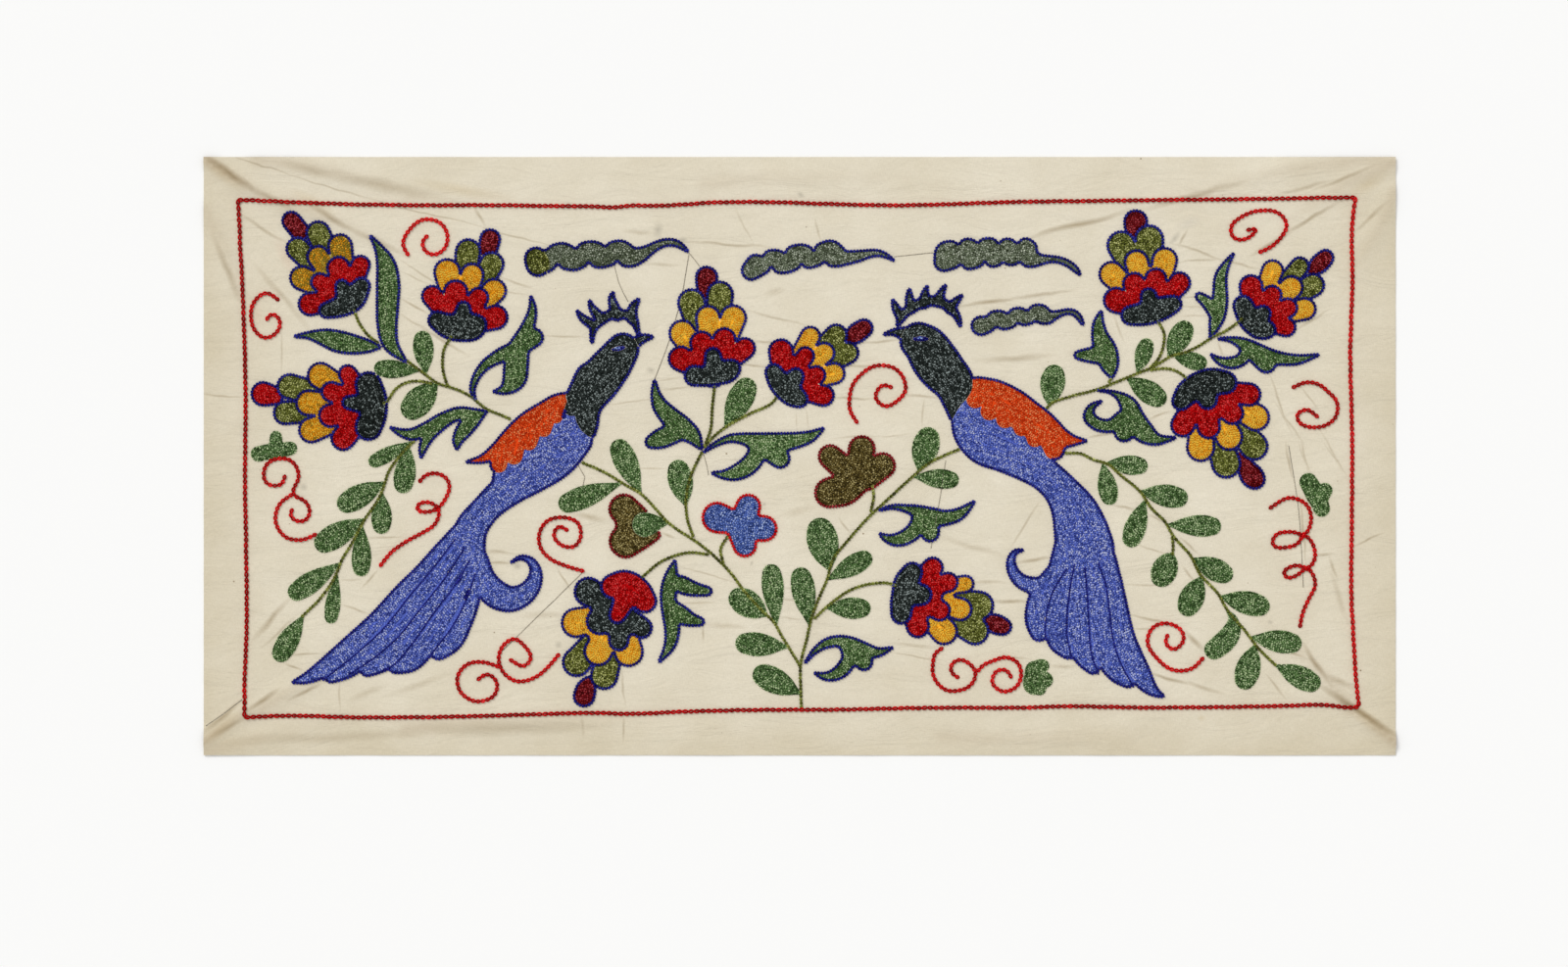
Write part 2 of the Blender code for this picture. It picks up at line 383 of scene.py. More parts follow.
CLOUD_BANDS = (
    (
        ((549, 269.5, 12), (558, 266, 11)), ((567, 259, 9.5), (574, 257.8, 9.6), (580, 259.5, 9)),
        ((578, 266.5, 8.5), (585, 267, 9), (592, 265, 8.5)),
        ((597.5, 256.8, 9.5), (603, 256.2, 9.9), (609, 256.5, 9)),
        ((609.5, 264.5, 8.5), (615, 264.3, 8.7), (622, 262.5, 8.5)),
        ((627, 256, 9.7), (633, 255.6, 10), (639, 258, 9)),
        ((639, 263.5, 8.5), (644.5, 263.5, 8.6), (650, 261.5, 8)),
        ((646, 262, 8.5), (654, 260, 7.2), (662, 255.5, 5), (670, 250.8, 4), (680, 247.6, 3.5),
         (690, 248.3, 3), (697, 252.5, 2), (702.5, 257.3, 0.5)),
    ),
    (
        ((766, 276, 9), (771, 269, 9)), ((766.5, 277, 8.7), (778, 271, 8.5)),
        ((786.5, 263.5, 8), (791, 263.3, 8.2), (795, 264, 7.5)),
        ((796, 271, 7.8), (803, 270.5, 7.8), (810, 268, 7.5)),
        ((810, 260, 9), (817.5, 258.5, 9), (822, 259.5, 8.7)),
        ((825, 266.2, 7.6), (830, 265, 7.6), (834.5, 263.5, 7.3)),
        ((840, 257, 9.3), (848, 255.5, 9.8), (853.5, 258.5, 8.7)), ((849.5, 264, 8), (857, 264, 7.8)),
        ((858, 263.5, 7.5), (868, 262.7, 6.2), (878, 261, 5), (888, 258.8, 3.6), (897, 258.4, 2.8),
         (905, 261.5, 1.8), (912.5, 266.3, 0.5)),
    ),
    (
        ((963, 267, 9.7), (966, 257, 10.5), (970, 255.5, 9.5)), ((964, 267, 9.5), (972, 265, 9)),
        ((987, 252.5, 8.8), (990, 252.8, 8.5)), ((989, 266.5, 8.6), (996.5, 264.5, 8.5)),
        ((1006, 252.3, 9), (1010, 252, 9)), ((1013, 264.3, 8.2), (1016.5, 263.5, 8)),
        ((1027.2, 252, 8.4), (1029, 252, 8.4)), ((1031, 262.8, 8), (1033.5, 262.8, 7.8)),
        ((1047, 253, 9.6), (1049, 254, 9)), ((1049.5, 263.5, 8.9), (1055, 264.5, 7.5)),
        ((965, 261, 9), (988, 259, 8), (1010, 258, 8), (1030, 257.5, 8), (1049, 259, 9)),
        ((1054, 265.5, 7), (1063, 265, 4.6), (1073, 264.6, 3), (1082, 265.8, 2.8), (1090, 269.3, 2.8),
         (1097, 274.5, 2.6), (1102.4, 280.5, 0.6)),
    ),
    (
        ((1000.5, 332.5, 9.2), (1002, 332, 9)), ((1001, 333, 9), (1008, 331, 8)),
        ((1015, 325.5, 8), (1020, 325, 7.8), (1022, 325.5, 7.5)),
        ((1024, 328.8, 7.6), (1030.5, 327.5, 7.4)),
        ((1036, 322.3, 7.6), (1041, 321.8, 7.4), (1042.5, 322.3, 7)),
        ((1045, 325, 7.1), (1049.5, 324, 7)),
        ((1057.5, 319.5, 8.5), (1062, 319.3, 8.2), (1064, 320.3, 7.7)),
        ((1064, 323, 7.6), (1069, 324, 6.5)),
        ((1066, 324, 6.5), (1074, 322.5, 4.5), (1082, 319.8, 2.8), (1090, 317.9, 2.3), (1097, 319.7, 2.4),
         (1101.8, 325, 2.2), (1105.3, 332.2, 0.6)),
    ),
)

MOTIFS = (
    Motif(Group.CLOUD_BANDS, Thread.OLIVE, Thread.NAVY,
        strokes=(((547, 264, 11.2), (549, 269.3, 12.3)),), joined=True, tone=0.36),
    Motif(Group.SPRAY_LEAVES, Thread.LEAF, None, strokes=(
        ((1251, 622, 1), (1258, 632, 5), (1256, 646, 10), (1243, 660, 11), (1239, 663, 10.5)),
    )),
    Motif(Group.SMALL_FLOWERS, Thread.BROWN, Thread.MAROON, strokes=(
        ((847.1, 466, 11.5), (866, 482, 13)), ((879.3, 458.4, 13), (876, 480, 12)),
        ((900.5, 475.2, 12.5), (884, 486, 14)), ((846.5, 503, 14.6), (860, 499.5, 16), (874, 489, 15)),
    ), tone=0.46),
    Motif(Group.SMALL_FLOWERS, Thread.BROWN, Thread.MAROON, strokes=(
        ((636.5, 519.5, 14.6), (650, 529, 12), (666, 541, 5)), ((640, 530, 11.6), (641, 545, 12)),
        ((638.5, 552.5, 16.2), (653, 546, 14), (669, 546, 4.5)),
    )),
    Motif(Group.SMALL_FLOWERS, Thread.LEAF, None, strokes=(
        ((658, 535.5, 13), (667, 534, 9), (682.2, 533.7, 1)),
    )),
    Motif(Group.SMALL_FLOWERS, Thread.SKY, Thread.RED, strokes=(
        ((732, 528.3, 15), (752, 534, 10.5)), ((763.5, 517, 12), (758, 532, 13)),
        ((779.8, 539.5, 12.5), (762, 538, 13)), ((759.9, 556.3, 11.5), (756, 542, 13)),
        ((746, 542, 4.5), (754, 540, 9)),
    ), tone=0.43),
    Motif(Group.TREFOILS, Thread.LEAF, None, strokes=(
        ((281.7, 445.8, 6.5), (281.3, 458, 7.5)), ((263.8, 463.3, 8.3), (278, 460, 8)),
        ((296.4, 457.7, 7.3), (284, 460, 8)),
    )),
    Motif(Group.TREFOILS, Thread.LEAF, None, strokes=(
        ((1335, 492, 9.5), (1343, 506, 10.5)), ((1352, 500.5, 8), (1346, 508, 9.5)),
        ((1348.5, 519, 8.8), (1345, 510, 9.5)),
    )),
    Motif(Group.TREFOILS, Thread.LEAF, None, strokes=(
        ((1056.5, 685, 11), (1055.5, 697.5, 12)), ((1061, 680, 7.6), (1064, 679.5, 7)),
        ((1063, 693, 9.5), (1066.5, 694, 8.4)), ((1058, 700, 9.3), (1061, 703, 7)),
    )),
    Motif(Group.LEFT_BIRD, Thread.BLUE, Thread.NAVY, strokes=(
        ((588, 449, 16), (568, 466.5, 20.5), (545, 482, 19.5), (526, 494, 17.5), (511.5, 505, 15.5),
         (494.5, 521, 14), (480, 542, 16), (478, 562, 16)),
        ((584, 422, 7), (587, 434, 12), (572, 442, 14), (552, 454, 15), (532, 470, 14), (514, 488, 11)),
        ((474, 540, 9.5), (450, 562, 7), (432, 582, 7), (410.5, 604, 7.5), (384, 634, 8.5),
         (357, 660, 9.5), (331, 682, 8.5), (312, 692.5, 4.5), (298.4, 696.4, 0.6)),
        ((468, 560, 6), (447, 586, 7), (423, 615, 8), (400, 643, 9), (375, 667, 9.5), (353, 683, 9),
         (338, 690, 6.5)),
        ((475, 568, 6), (458, 595, 6.5), (435, 625, 8.5), (413, 653, 9.5), (390, 675, 10),
         (375, 682.5, 7.5)),
        ((482, 577, 6), (469, 606, 7), (452, 632, 9.5), (434, 658, 11), (417, 673.5, 11.8),
         (404, 679.5, 7.5)),
        ((458, 560, 3.5), (440.4, 582, 3.5), (419, 607, 3.8), (392, 641, 3.5), (368, 664, 3)),
        ((454.6, 589.3, 3.5), (427.9, 623.2, 3.5), (406.4, 650, 3.5), (383, 671, 3)),
        ((463.6, 598.2, 3.5), (442, 626.8, 3.5), (420.7, 657, 3.5), (405, 674, 3)),
        ((474.3, 616, 3.5), (461.8, 639.3, 3.5), (449, 656, 3)),
        ((488, 585, 6), (483, 610, 6.5), (472, 634, 9.5), (459, 655, 11), (448, 663.5, 9.5)),
        ((488, 570, 9), (495, 594, 12), (507, 607, 13.5), (521, 611.5, 12), (535, 606.5, 10),
         (544.5, 595, 7.5), (546.5, 582, 5), (541, 572, 3), (531, 569, 1.6), (521, 574.7, 0.5)),
    ), seams=(
        ((465, 550), (440.4, 582), (419, 607), (392, 641), (365, 666), (329, 695)),
        ((474.3, 559), (454.6, 589.3), (427.9, 623.2), (406.4, 650), (379.6, 673.2), (355.5, 689)),
        ((479.6, 571.4), (463.6, 598.2), (442, 626.8), (420.7, 657), (399.3, 680.4), (389.5, 685)),
        ((485, 585.7), (474.3, 616), (461.8, 639.3), (445.7, 660.7), (436.9, 672)),
    )),
    Motif(Group.LEFT_BIRD, Thread.ORANGE, Thread.NAVY, strokes=(
        ((580, 407, 6), (571, 411, 9), (556, 421.5, 11.2), (540, 433, 12.5), (524, 446, 11),
         (508, 459.5, 7.5), (492, 468.5, 3.8), (475, 471.5, 0.5)),
        ((513, 458, 8), (509, 474, 8.8)), ((528, 450, 9), (524.5, 465.5, 9)),
        ((543, 439, 9.5), (540, 451.5, 8.5)), ((557, 428, 9.5), (555, 438.5, 7.8)),
        ((568, 416, 8.5), (567.5, 425.5, 7)),
    ), joined=True),
    Motif(Group.LEFT_BIRD, Thread.BOTTLE, Thread.NAVY, strokes=(
        ((604, 350, 1), (605, 338, 2.5), (612, 328, 4), (624, 321, 4.5), (637, 321, 4), (647, 327, 3.5),
         (650, 336, 2), (652, 343, 1)),
        ((606, 332, 4.5), (597, 326.5, 3.5), (591, 321, 1.9), (589, 316.4, 0.5)),
        ((614, 326, 5.1), (606.5, 317.5, 3.8), (602.5, 311, 1.9), (601.7, 305.6, 0.5)),
        ((630, 322, 5.4), (626, 311, 4.2), (624, 303.5, 2.5), (625.9, 297.8, 0.5)),
        ((645, 326, 4.7), (645.5, 315, 4.1), (649.5, 308.5, 2.3), (652.5, 304.5, 0.5)),
    )),
    Motif(Group.LEFT_BIRD, Thread.BOTTLE, Thread.NAVY, strokes=(
        ((648, 350, 5), (657, 345, 3.8), (667, 344, 0.6)),
    )),
    Motif(Group.LEFT_BIRD, Thread.BOTTLE, Thread.NAVY, strokes=(
        ((635.5, 356.5, 16), (626, 370, 19), (611.5, 388.5, 21), (600, 404, 19), (598.5, 418, 13.5),
         (600, 432, 10), (603, 442, 4.5)),
        ((604, 388, 18), (593, 401, 13), (584, 405, 7), (580, 404, 3)),
        ((588, 411, 9), (583, 417.5, 7.3)),
    ), joined=True),
    Motif(Group.LEFT_BIRD, Thread.NAVY, None, strokes=(
        ((624.5, 356.8, 1.6), (631, 355.8, 2.9), (637.5, 354.6, 1.6)),
    )),
    # The light stitch across the eye is a painted highlight.
    Motif(Group.LEFT_BIRD, Thread.SKY, None, strokes=(((627, 355.6, 0.8), (633, 354.8, 0.8)),)),
    Motif(Group.RIGHT_BIRD, Thread.BLUE, Thread.NAVY, strokes=(
        ((980, 425, 9), (986, 440, 13), (1003, 452.5, 20), (1025, 461.5, 19.5), (1048, 472, 18.5),
         (1070, 487.5, 16), (1086, 504.7, 17.8), (1096.7, 522.5, 22.5), (1103.5, 544, 27),
         (1107, 560, 29)),
        ((986, 412, 8), (1003, 430, 14), (1030, 441, 14), (1055, 457, 13)),
        ((1081, 578, 8), (1067, 600, 11), (1059, 618, 11), (1056.5, 634, 9.5), (1060.5, 645, 9)),
        ((1091, 582, 7), (1083, 602, 9.5), (1079, 622, 11), (1077.5, 640, 11.5), (1081.5, 654, 11.5),
         (1090, 664, 8)),
        ((1101, 580, 8), (1100.5, 605, 10), (1100.5, 630, 11.5), (1102, 652, 12.3), (1107, 667, 12),
         (1115, 680, 7.5)),
        ((1114, 578, 8), (1118.5, 600, 9.5), (1121.5, 625, 11), (1124.5, 650, 11.8), (1131, 671, 12),
         (1142, 686.5, 10.5), (1151, 695.5, 6)),
        ((1129, 570, 9), (1136, 600, 9.5), (1141, 625, 10), (1146, 650, 11), (1155, 673, 11.5),
         (1163.5, 688.5, 10.3), (1171.5, 700, 7), (1179, 706.8, 3.8), (1188.2, 711, 0.5)),
        ((1097, 556, 20), (1090.5, 574, 18.3), (1079, 589, 12), (1064, 597.3, 8.3), (1050, 596.8, 7.5),
         (1039, 590.8, 6), (1032.5, 580, 4.6), (1032, 569, 3), (1037, 562.6, 1.7), (1044.8, 561.7, 0.5)),
    ), seams=(
        ((1088.6, 580.2), (1075.9, 600.8), (1069, 620.4), (1066.7, 637.6), (1066.9, 654)),
        ((1096.6, 575.6), (1092, 599.7), (1089, 626), (1088.6, 649), (1094, 673)),
        ((1106.9, 579), (1109.2, 604.3), (1111.5, 643.3), (1113.2, 665.1), (1121, 689)),
        ((1120.7, 574.4), (1127.6, 595), (1131.6, 620.4), (1134.5, 646.8), (1141.4, 672), (1157, 702)),
    )),
    Motif(Group.RIGHT_BIRD, Thread.ORANGE, Thread.NAVY, strokes=(
        ((998, 397, 12), (1014, 403, 15), (1031, 413, 17), (1048, 426, 17.5), (1064, 437, 16),
         (1079, 446.5, 11.5), (1093, 449.5, 5.5), (1108.9, 450, 0.5)),
        ((1003, 403, 10), (995, 408, 9)), ((1014, 412, 11), (1009.5, 420, 9.3)),
        ((1029, 420, 12), (1025.5, 428, 9.3)), ((1044, 430, 12), (1042, 437.5, 8)),
        ((1058, 440, 13), (1056, 448, 8.7)), ((1072, 448, 12), (1075.5, 459, 10.3)),
    ), joined=True),
    Motif(Group.RIGHT_BIRD, Thread.BOTTLE, Thread.NAVY, strokes=(
        ((916, 332, 1.5), (920.5, 322.5, 3.5), (931, 314, 4.5), (944, 308, 4.7), (957, 307.7, 4.7),
         (968, 313, 4.2), (976, 322, 3.2), (980, 333, 1)),
        ((919.5, 324, 4.4), (914, 314, 3.5), (910.5, 305.5, 0.5)),
        ((930, 315, 5), (928, 305, 3.6), (927.9, 293.8, 0.5)),
        ((943, 310, 5), (943.5, 301, 3.6), (946.2, 291.7, 0.5)),
        ((957, 308.5, 4.8), (960, 300, 3.4), (965, 290.2, 0.5)),
        ((969, 315.5, 4.6), (975, 308, 3.3), (982.4, 300.4, 0.5)),
    )),
    Motif(Group.RIGHT_BIRD, Thread.BOTTLE, Thread.NAVY, strokes=(
        ((925, 341, 7), (912, 339, 3), (900.8, 341.7, 0.5)),
    )),
    Motif(Group.RIGHT_BIRD, Thread.BOTTLE, Thread.NAVY, strokes=(
        ((937, 348, 18.3), (943.5, 352.5, 20.5), (954.2, 368.1, 23.2), (964.2, 380.7, 22),
         (973.2, 391.5, 19.5), (972, 405, 12), (971.3, 418, 5.5), (970.8, 428.5, 1)),
    ), joined=True),
    Motif(Group.RIGHT_BIRD, Thread.NAVY, None, strokes=(
        ((932.5, 346.3, 1.8), (939.6, 345.6, 3.2), (947, 346.3, 1.8)),
    )),
    # The light stitch across the eye is a painted highlight.
    Motif(Group.RIGHT_BIRD, Thread.SKY, None, strokes=(((936, 345, 0.8), (942, 344.8, 0.8)),)),
)

# Each plain leaf: its base, its far end and its half width.
SPRAY_LEAVES = (
    (433.4, 380.6, 430.5, 337.3, 10), (425.3, 379, 381.3, 375.5, 9), (444, 393.5, 412, 425.3, 13.5),
    (422, 452, 376.2, 473.8, 7.5), (419.8, 460.6, 410, 503.8, 10.5), (388, 492.7, 344.7, 518.3, 11.5),
    (389.5, 505, 389.3, 545.3, 10), (370.4, 530.9, 321.6, 559, 12), (369.8, 538.9, 368.4, 588.5, 9.5),
    (345, 575.8, 294.8, 609.2, 10.5), (345, 587, 337, 636.7, 7.5), (308.2, 630, 282, 674.9, 10.5),
    (652.8, 501.5, 628.2, 448.8, 11.5), (631.7, 494.4, 570, 516.9, 11), (699, 514, 690, 469.2, 12),
    (740.5, 433.4, 766.4, 386.4, 12.5), (938, 478, 950, 436, 13), (937.5, 489.7, 978.8, 490.5, 9.5),
    (845.8, 579.6, 834, 528.5, 15), (849.2, 591.6, 889.4, 566.2, 10), (826.4, 635.8, 815.7, 578.9, 11.5),
    (792.5, 636, 786.4, 575.5, 10.6), (779.6, 627.8, 744.7, 605, 13), (803, 659.2, 750, 655.9, 11.5),
    (817, 706.8, 768.8, 684, 12.5), (846.5, 621, 888.7, 621, 10.5), (1161.8, 380.2, 1172, 345.2, 8.5),
    (1194, 364, 1213, 328, 11), (1199.7, 364, 1231.8, 372, 8.5), (1151, 385, 1189.4, 411.2, 11),
    (1071.4, 411.7, 1077, 372, 12), (1130.8, 471.7, 1171.5, 476, 9.5),
    (1126.5, 472.8, 1133.6, 515.6, 9.5), (1165.5, 502, 1212.2, 509.6, 11),
    (1164.4, 515, 1151.4, 558.4, 10.5), (1195.9, 534.6, 1246.3, 537.3, 10.5),
    (1195.9, 567, 1180.7, 598.5, 12.5), (1218.7, 571.4, 1257.7, 589.9, 11),
    (1226, 590, 1207.7, 628.4, 12), (1247.2, 609.3, 1295.7, 620.8, 11.5),
    (1281.6, 648.8, 1328.2, 657.8, 11), (1275.3, 664, 1267.6, 703.7, 12),
    (1303.3, 680.7, 1346.7, 701, 11),
)

STEMS = (
    ((414.3, 367.4), (432.7, 381.3), (445.9, 390.9), (462, 396), (478.2, 403.3), (497.2, 418), (512, 424),
     (521, 428)),
    ((423, 450), (418, 454.7), (404.8, 469.4), (396, 482.6), (393, 492.8), (387.5, 507), (372.5, 530),
     (359.7, 553.7), (347, 576), (345, 581.8), (327.6, 610), (307.5, 630)),
    ((593.9, 472), (616.3, 481.8), (637.3, 494.4), (654.2, 504.3), (668.2, 518.3), (682.2, 533.7),
     (704.7, 549.2), (718.7, 559), (730, 568.8), (743.4, 582.2), (760.8, 605), (778.2, 623.7),
     (790.3, 635.8), (797, 647.9), (805, 661), (816.4, 680)),
    ((707.5, 547.8), (701.9, 532.3), (699.8, 515.5), (703.3, 491.6), (710.3, 473.4), (716.6, 460.8)),
    ((817.7, 722.9), (817, 704), (817, 677.3), (823.7, 650.5), (826.4, 637), (834.5, 613), (843.8, 591.6),
     (850.4, 570), (862.5, 554.8), (885.4, 528.8), (908.4, 507.3), (928.3, 489), (946.6, 473.7),
     (978.8, 458.4)),
    ((1086.3, 462.5), (1103.4, 463.3), (1116, 469.5), (1130.8, 473.9), (1141.7, 483.6), (1163.4, 502),
     (1175.3, 519.4), (1189.4, 533.5), (1195.9, 545.4), (1215.4, 568.2), (1224, 585.5), (1243.5, 607),
     (1251, 620.8), (1271.4, 645), (1281.6, 659), (1302, 679.4)),
    ((1195.9, 547.6), (1197, 558.4), (1195.9, 567)),
    ((1067.5, 417.2), (1072.2, 412.5), (1092.5, 404.7), (1119, 397.7), (1140, 389.6), (1151.5, 384.8),
     (1163, 380.2), (1174.4, 375.6), (1182.5, 371), (1194, 364), (1211.2, 359), (1226, 351.5),
     (1238.7, 343.4), (1246.8, 340)),
    ((361.3, 316), (366.7, 330), (376.9, 343.2), (386.5, 350.5)),
    ((461, 343), (453.2, 356.4), (451.8, 374), (454.7, 388.7), (456.9, 394.5)),
    ((391, 412), (394.5, 410), (403.3, 397.5), (413.6, 390.9), (425.3, 389), (441.5, 391.6)),
    ((729.3, 393.4), (727, 413), (725, 438.3), (718.7, 456.6)),
    ((793, 404), (790, 408.9), (763.6, 422.9), (741.2, 435.5), (727.1, 446.7), (718.7, 456.6)),
    ((1181, 327), (1187.6, 340), (1185.9, 357.2), (1180.2, 368.7), (1173, 375.6)),
    ((1268, 325), (1258, 333), (1246.8, 340)),
    ((1173.3, 377.9), (1189.4, 376.2), (1202, 379.6), (1211.8, 387)),
    ((654, 590), (677, 572), (706, 564), (723, 566)),
    ((914, 598), (910, 596.3), (890.7, 595.6), (870.6, 601), (847.9, 615.7), (830.4, 631.8)),
    ((890, 495), (891.5, 505.8), (888.5, 522.7)),
    ((742.7, 547.4), (735.4, 559.5), (738, 575.5)),
    ((1134, 386), (1131, 391)),
)

CURLS = (
    ((417, 261), (411, 249), (416, 237), (433, 224), (451, 229), (457, 243), (453, 255), (441, 260),
     (433, 255), (431, 247), (437, 240)),
    ((285, 307), (272, 299), (260, 307), (256, 321), (260, 337), (270, 345), (281, 341), (286, 329),
     (282, 322), (276, 321), (272, 327)),
    ((291, 485), (288, 494), (280, 496), (271, 492), (269, 484), (273, 473), (285, 468), (295, 469),
     (301, 474), (305, 486), (299, 504), (313, 513), (316, 525), (312, 531), (303, 532), (296, 525),
     (299, 519)),
    ((299, 504), (285, 515), (281, 531), (291, 548), (309, 551), (323, 545)),
    ((427.5, 492.7), (431.9, 486.9), (440.6, 483), (450.8, 484.5), (458, 491.8), (458.6, 499),
     (454.5, 509.2), (448, 518), (441, 521.5), (433.3, 522.6), (427, 521.5), (425.2, 518), (427, 514.5),
     (432, 512.7), (438.5, 512.8), (444.5, 516), (448, 520), (448.1, 525.5), (443.5, 535.4),
     (430.4, 544.1), (414.4, 552.9), (399.9, 563), (387.7, 578.1)),
    ((596, 583), (576, 577), (561, 570), (552, 560), (550, 546), (558, 532), (574, 528), (590, 534),
     (593, 546), (586, 558), (574, 557), (565, 546), (570, 537), (580, 542)),
    ((487, 694), (497, 688), (507, 696), (505, 709), (487, 716), (469, 705), (467, 690), (479, 677),
     (495, 676), (510, 681)),
    ((520, 673), (535, 680), (542, 672), (537, 661), (524, 652), (512, 661), (509, 669), (512, 684),
     (526, 695), (545, 692), (560, 680), (571, 667)),
    ((875, 432), (867, 418), (867, 405), (871, 391), (880, 381), (891, 374), (903, 373), (917, 379),
     (923, 389), (924, 399), (917, 408), (903, 415), (893, 405), (901, 393), (911, 396)),
    ((1284, 258), (1297, 252), (1308, 241), (1313, 231), (1311, 224), (1301, 216), (1287, 215),
     (1269, 220), (1256, 232), (1257, 241), (1264, 245), (1275, 242), (1282, 234), (1272, 235)),
    ((1318, 396), (1335, 390), (1347, 393), (1356, 401), (1363, 408), (1365, 416), (1362, 427),
     (1353, 434), (1337, 436), (1326, 432), (1323, 424), (1333, 418), (1345, 426)),
    ((1295, 519), (1316, 508), (1333, 515), (1338, 529), (1330, 546), (1320, 543), (1314, 543),
     (1303, 545), (1298, 552), (1300, 558), (1308, 559), (1325, 554), (1330, 546), (1337, 551),
     (1341, 560), (1341, 572), (1334, 580), (1325, 577), (1318, 578), (1309, 585), (1314, 590),
     (1322, 588), (1334, 580), (1340, 587), (1342, 597), (1335, 612), (1329, 626), (1326, 641)),
    ((962, 661), (954, 667), (952, 676), (952, 689), (959, 700), (967, 705), (977, 705), (987, 702),
     (994, 694), (995, 685), (990, 678), (979, 673), (970, 680), (972, 688), (979, 692)),
    ((997, 686), (1003, 679), (1012, 675), (1029, 671), (1038, 676), (1042, 686), (1037, 701),
     (1023, 706), (1012, 696), (1018, 684), (1027, 684), (1032, 692)),
    ((1228, 671), (1217, 682), (1197, 684), (1178, 669), (1171, 658), (1172, 647), (1178, 639),
     (1188, 636), (1198, 638), (1205, 643), (1208, 650), (1207, 655), (1197, 663), (1189, 655),
     (1192, 647)),
)

# The four sides of the border, by its middle line. A program measured the line in the photograph, and its
# points were then thinned and evened.
BORDER = (
    ((243, 204), (300, 206.6), (400, 209.3), (500, 209.6), (600, 210.9), (630, 211.5), (648, 209.7),
     (664, 210.2), (680, 209.8), (722, 207.2), (760, 206.3), (830, 207.7), (900, 209.6), (950, 209.2),
     (1000, 207.2), (1100, 205.3), (1200, 204.2), (1300, 202.9), (1383, 201.6)),
    ((1383, 201.6), (1380, 225), (1379.8, 290), (1377.6, 365), (1379.2, 430), (1379.2, 540),
     (1378.8, 610), (1381, 655), (1383.4, 695), (1386.6, 721)),
    ((1386.6, 721), (1380, 722), (1350, 719.3), (1300, 720.8), (1240, 721.6), (1150, 722), (1100, 720.9),
     (1040, 722.2), (950, 722.3), (870, 724), (760, 724.7), (690, 726.5), (650, 728.4), (600, 727.6),
     (550, 728.8), (450, 731.6), (350, 731.8), (300, 730.3), (250, 732)),
    ((250, 732), (249.6, 700), (251.5, 650), (251.2, 560), (250.2, 490), (250.7, 400), (249.4, 340),
     (247.4, 290), (245, 245), (243, 204)),
)

CARRIED = (
    ((626, 268), (632, 290), (641, 308)),
    ((703, 260), (696, 300), (682, 350), (668, 387)),
    ((703, 258), (708, 264), (714, 272)),
    ((912, 262), (952, 258)),
    ((596, 583), (560, 618), (512, 665)),
    ((716, 457), (720, 470), (723, 485)),
    ((247, 714), (230, 727), (210, 741)),
    ((1315, 455), (1325, 520), (1330, 600)),
    ((590, 475), (597, 488), (594, 500)),
    ((965, 470), (958, 515), (950, 560)),
)
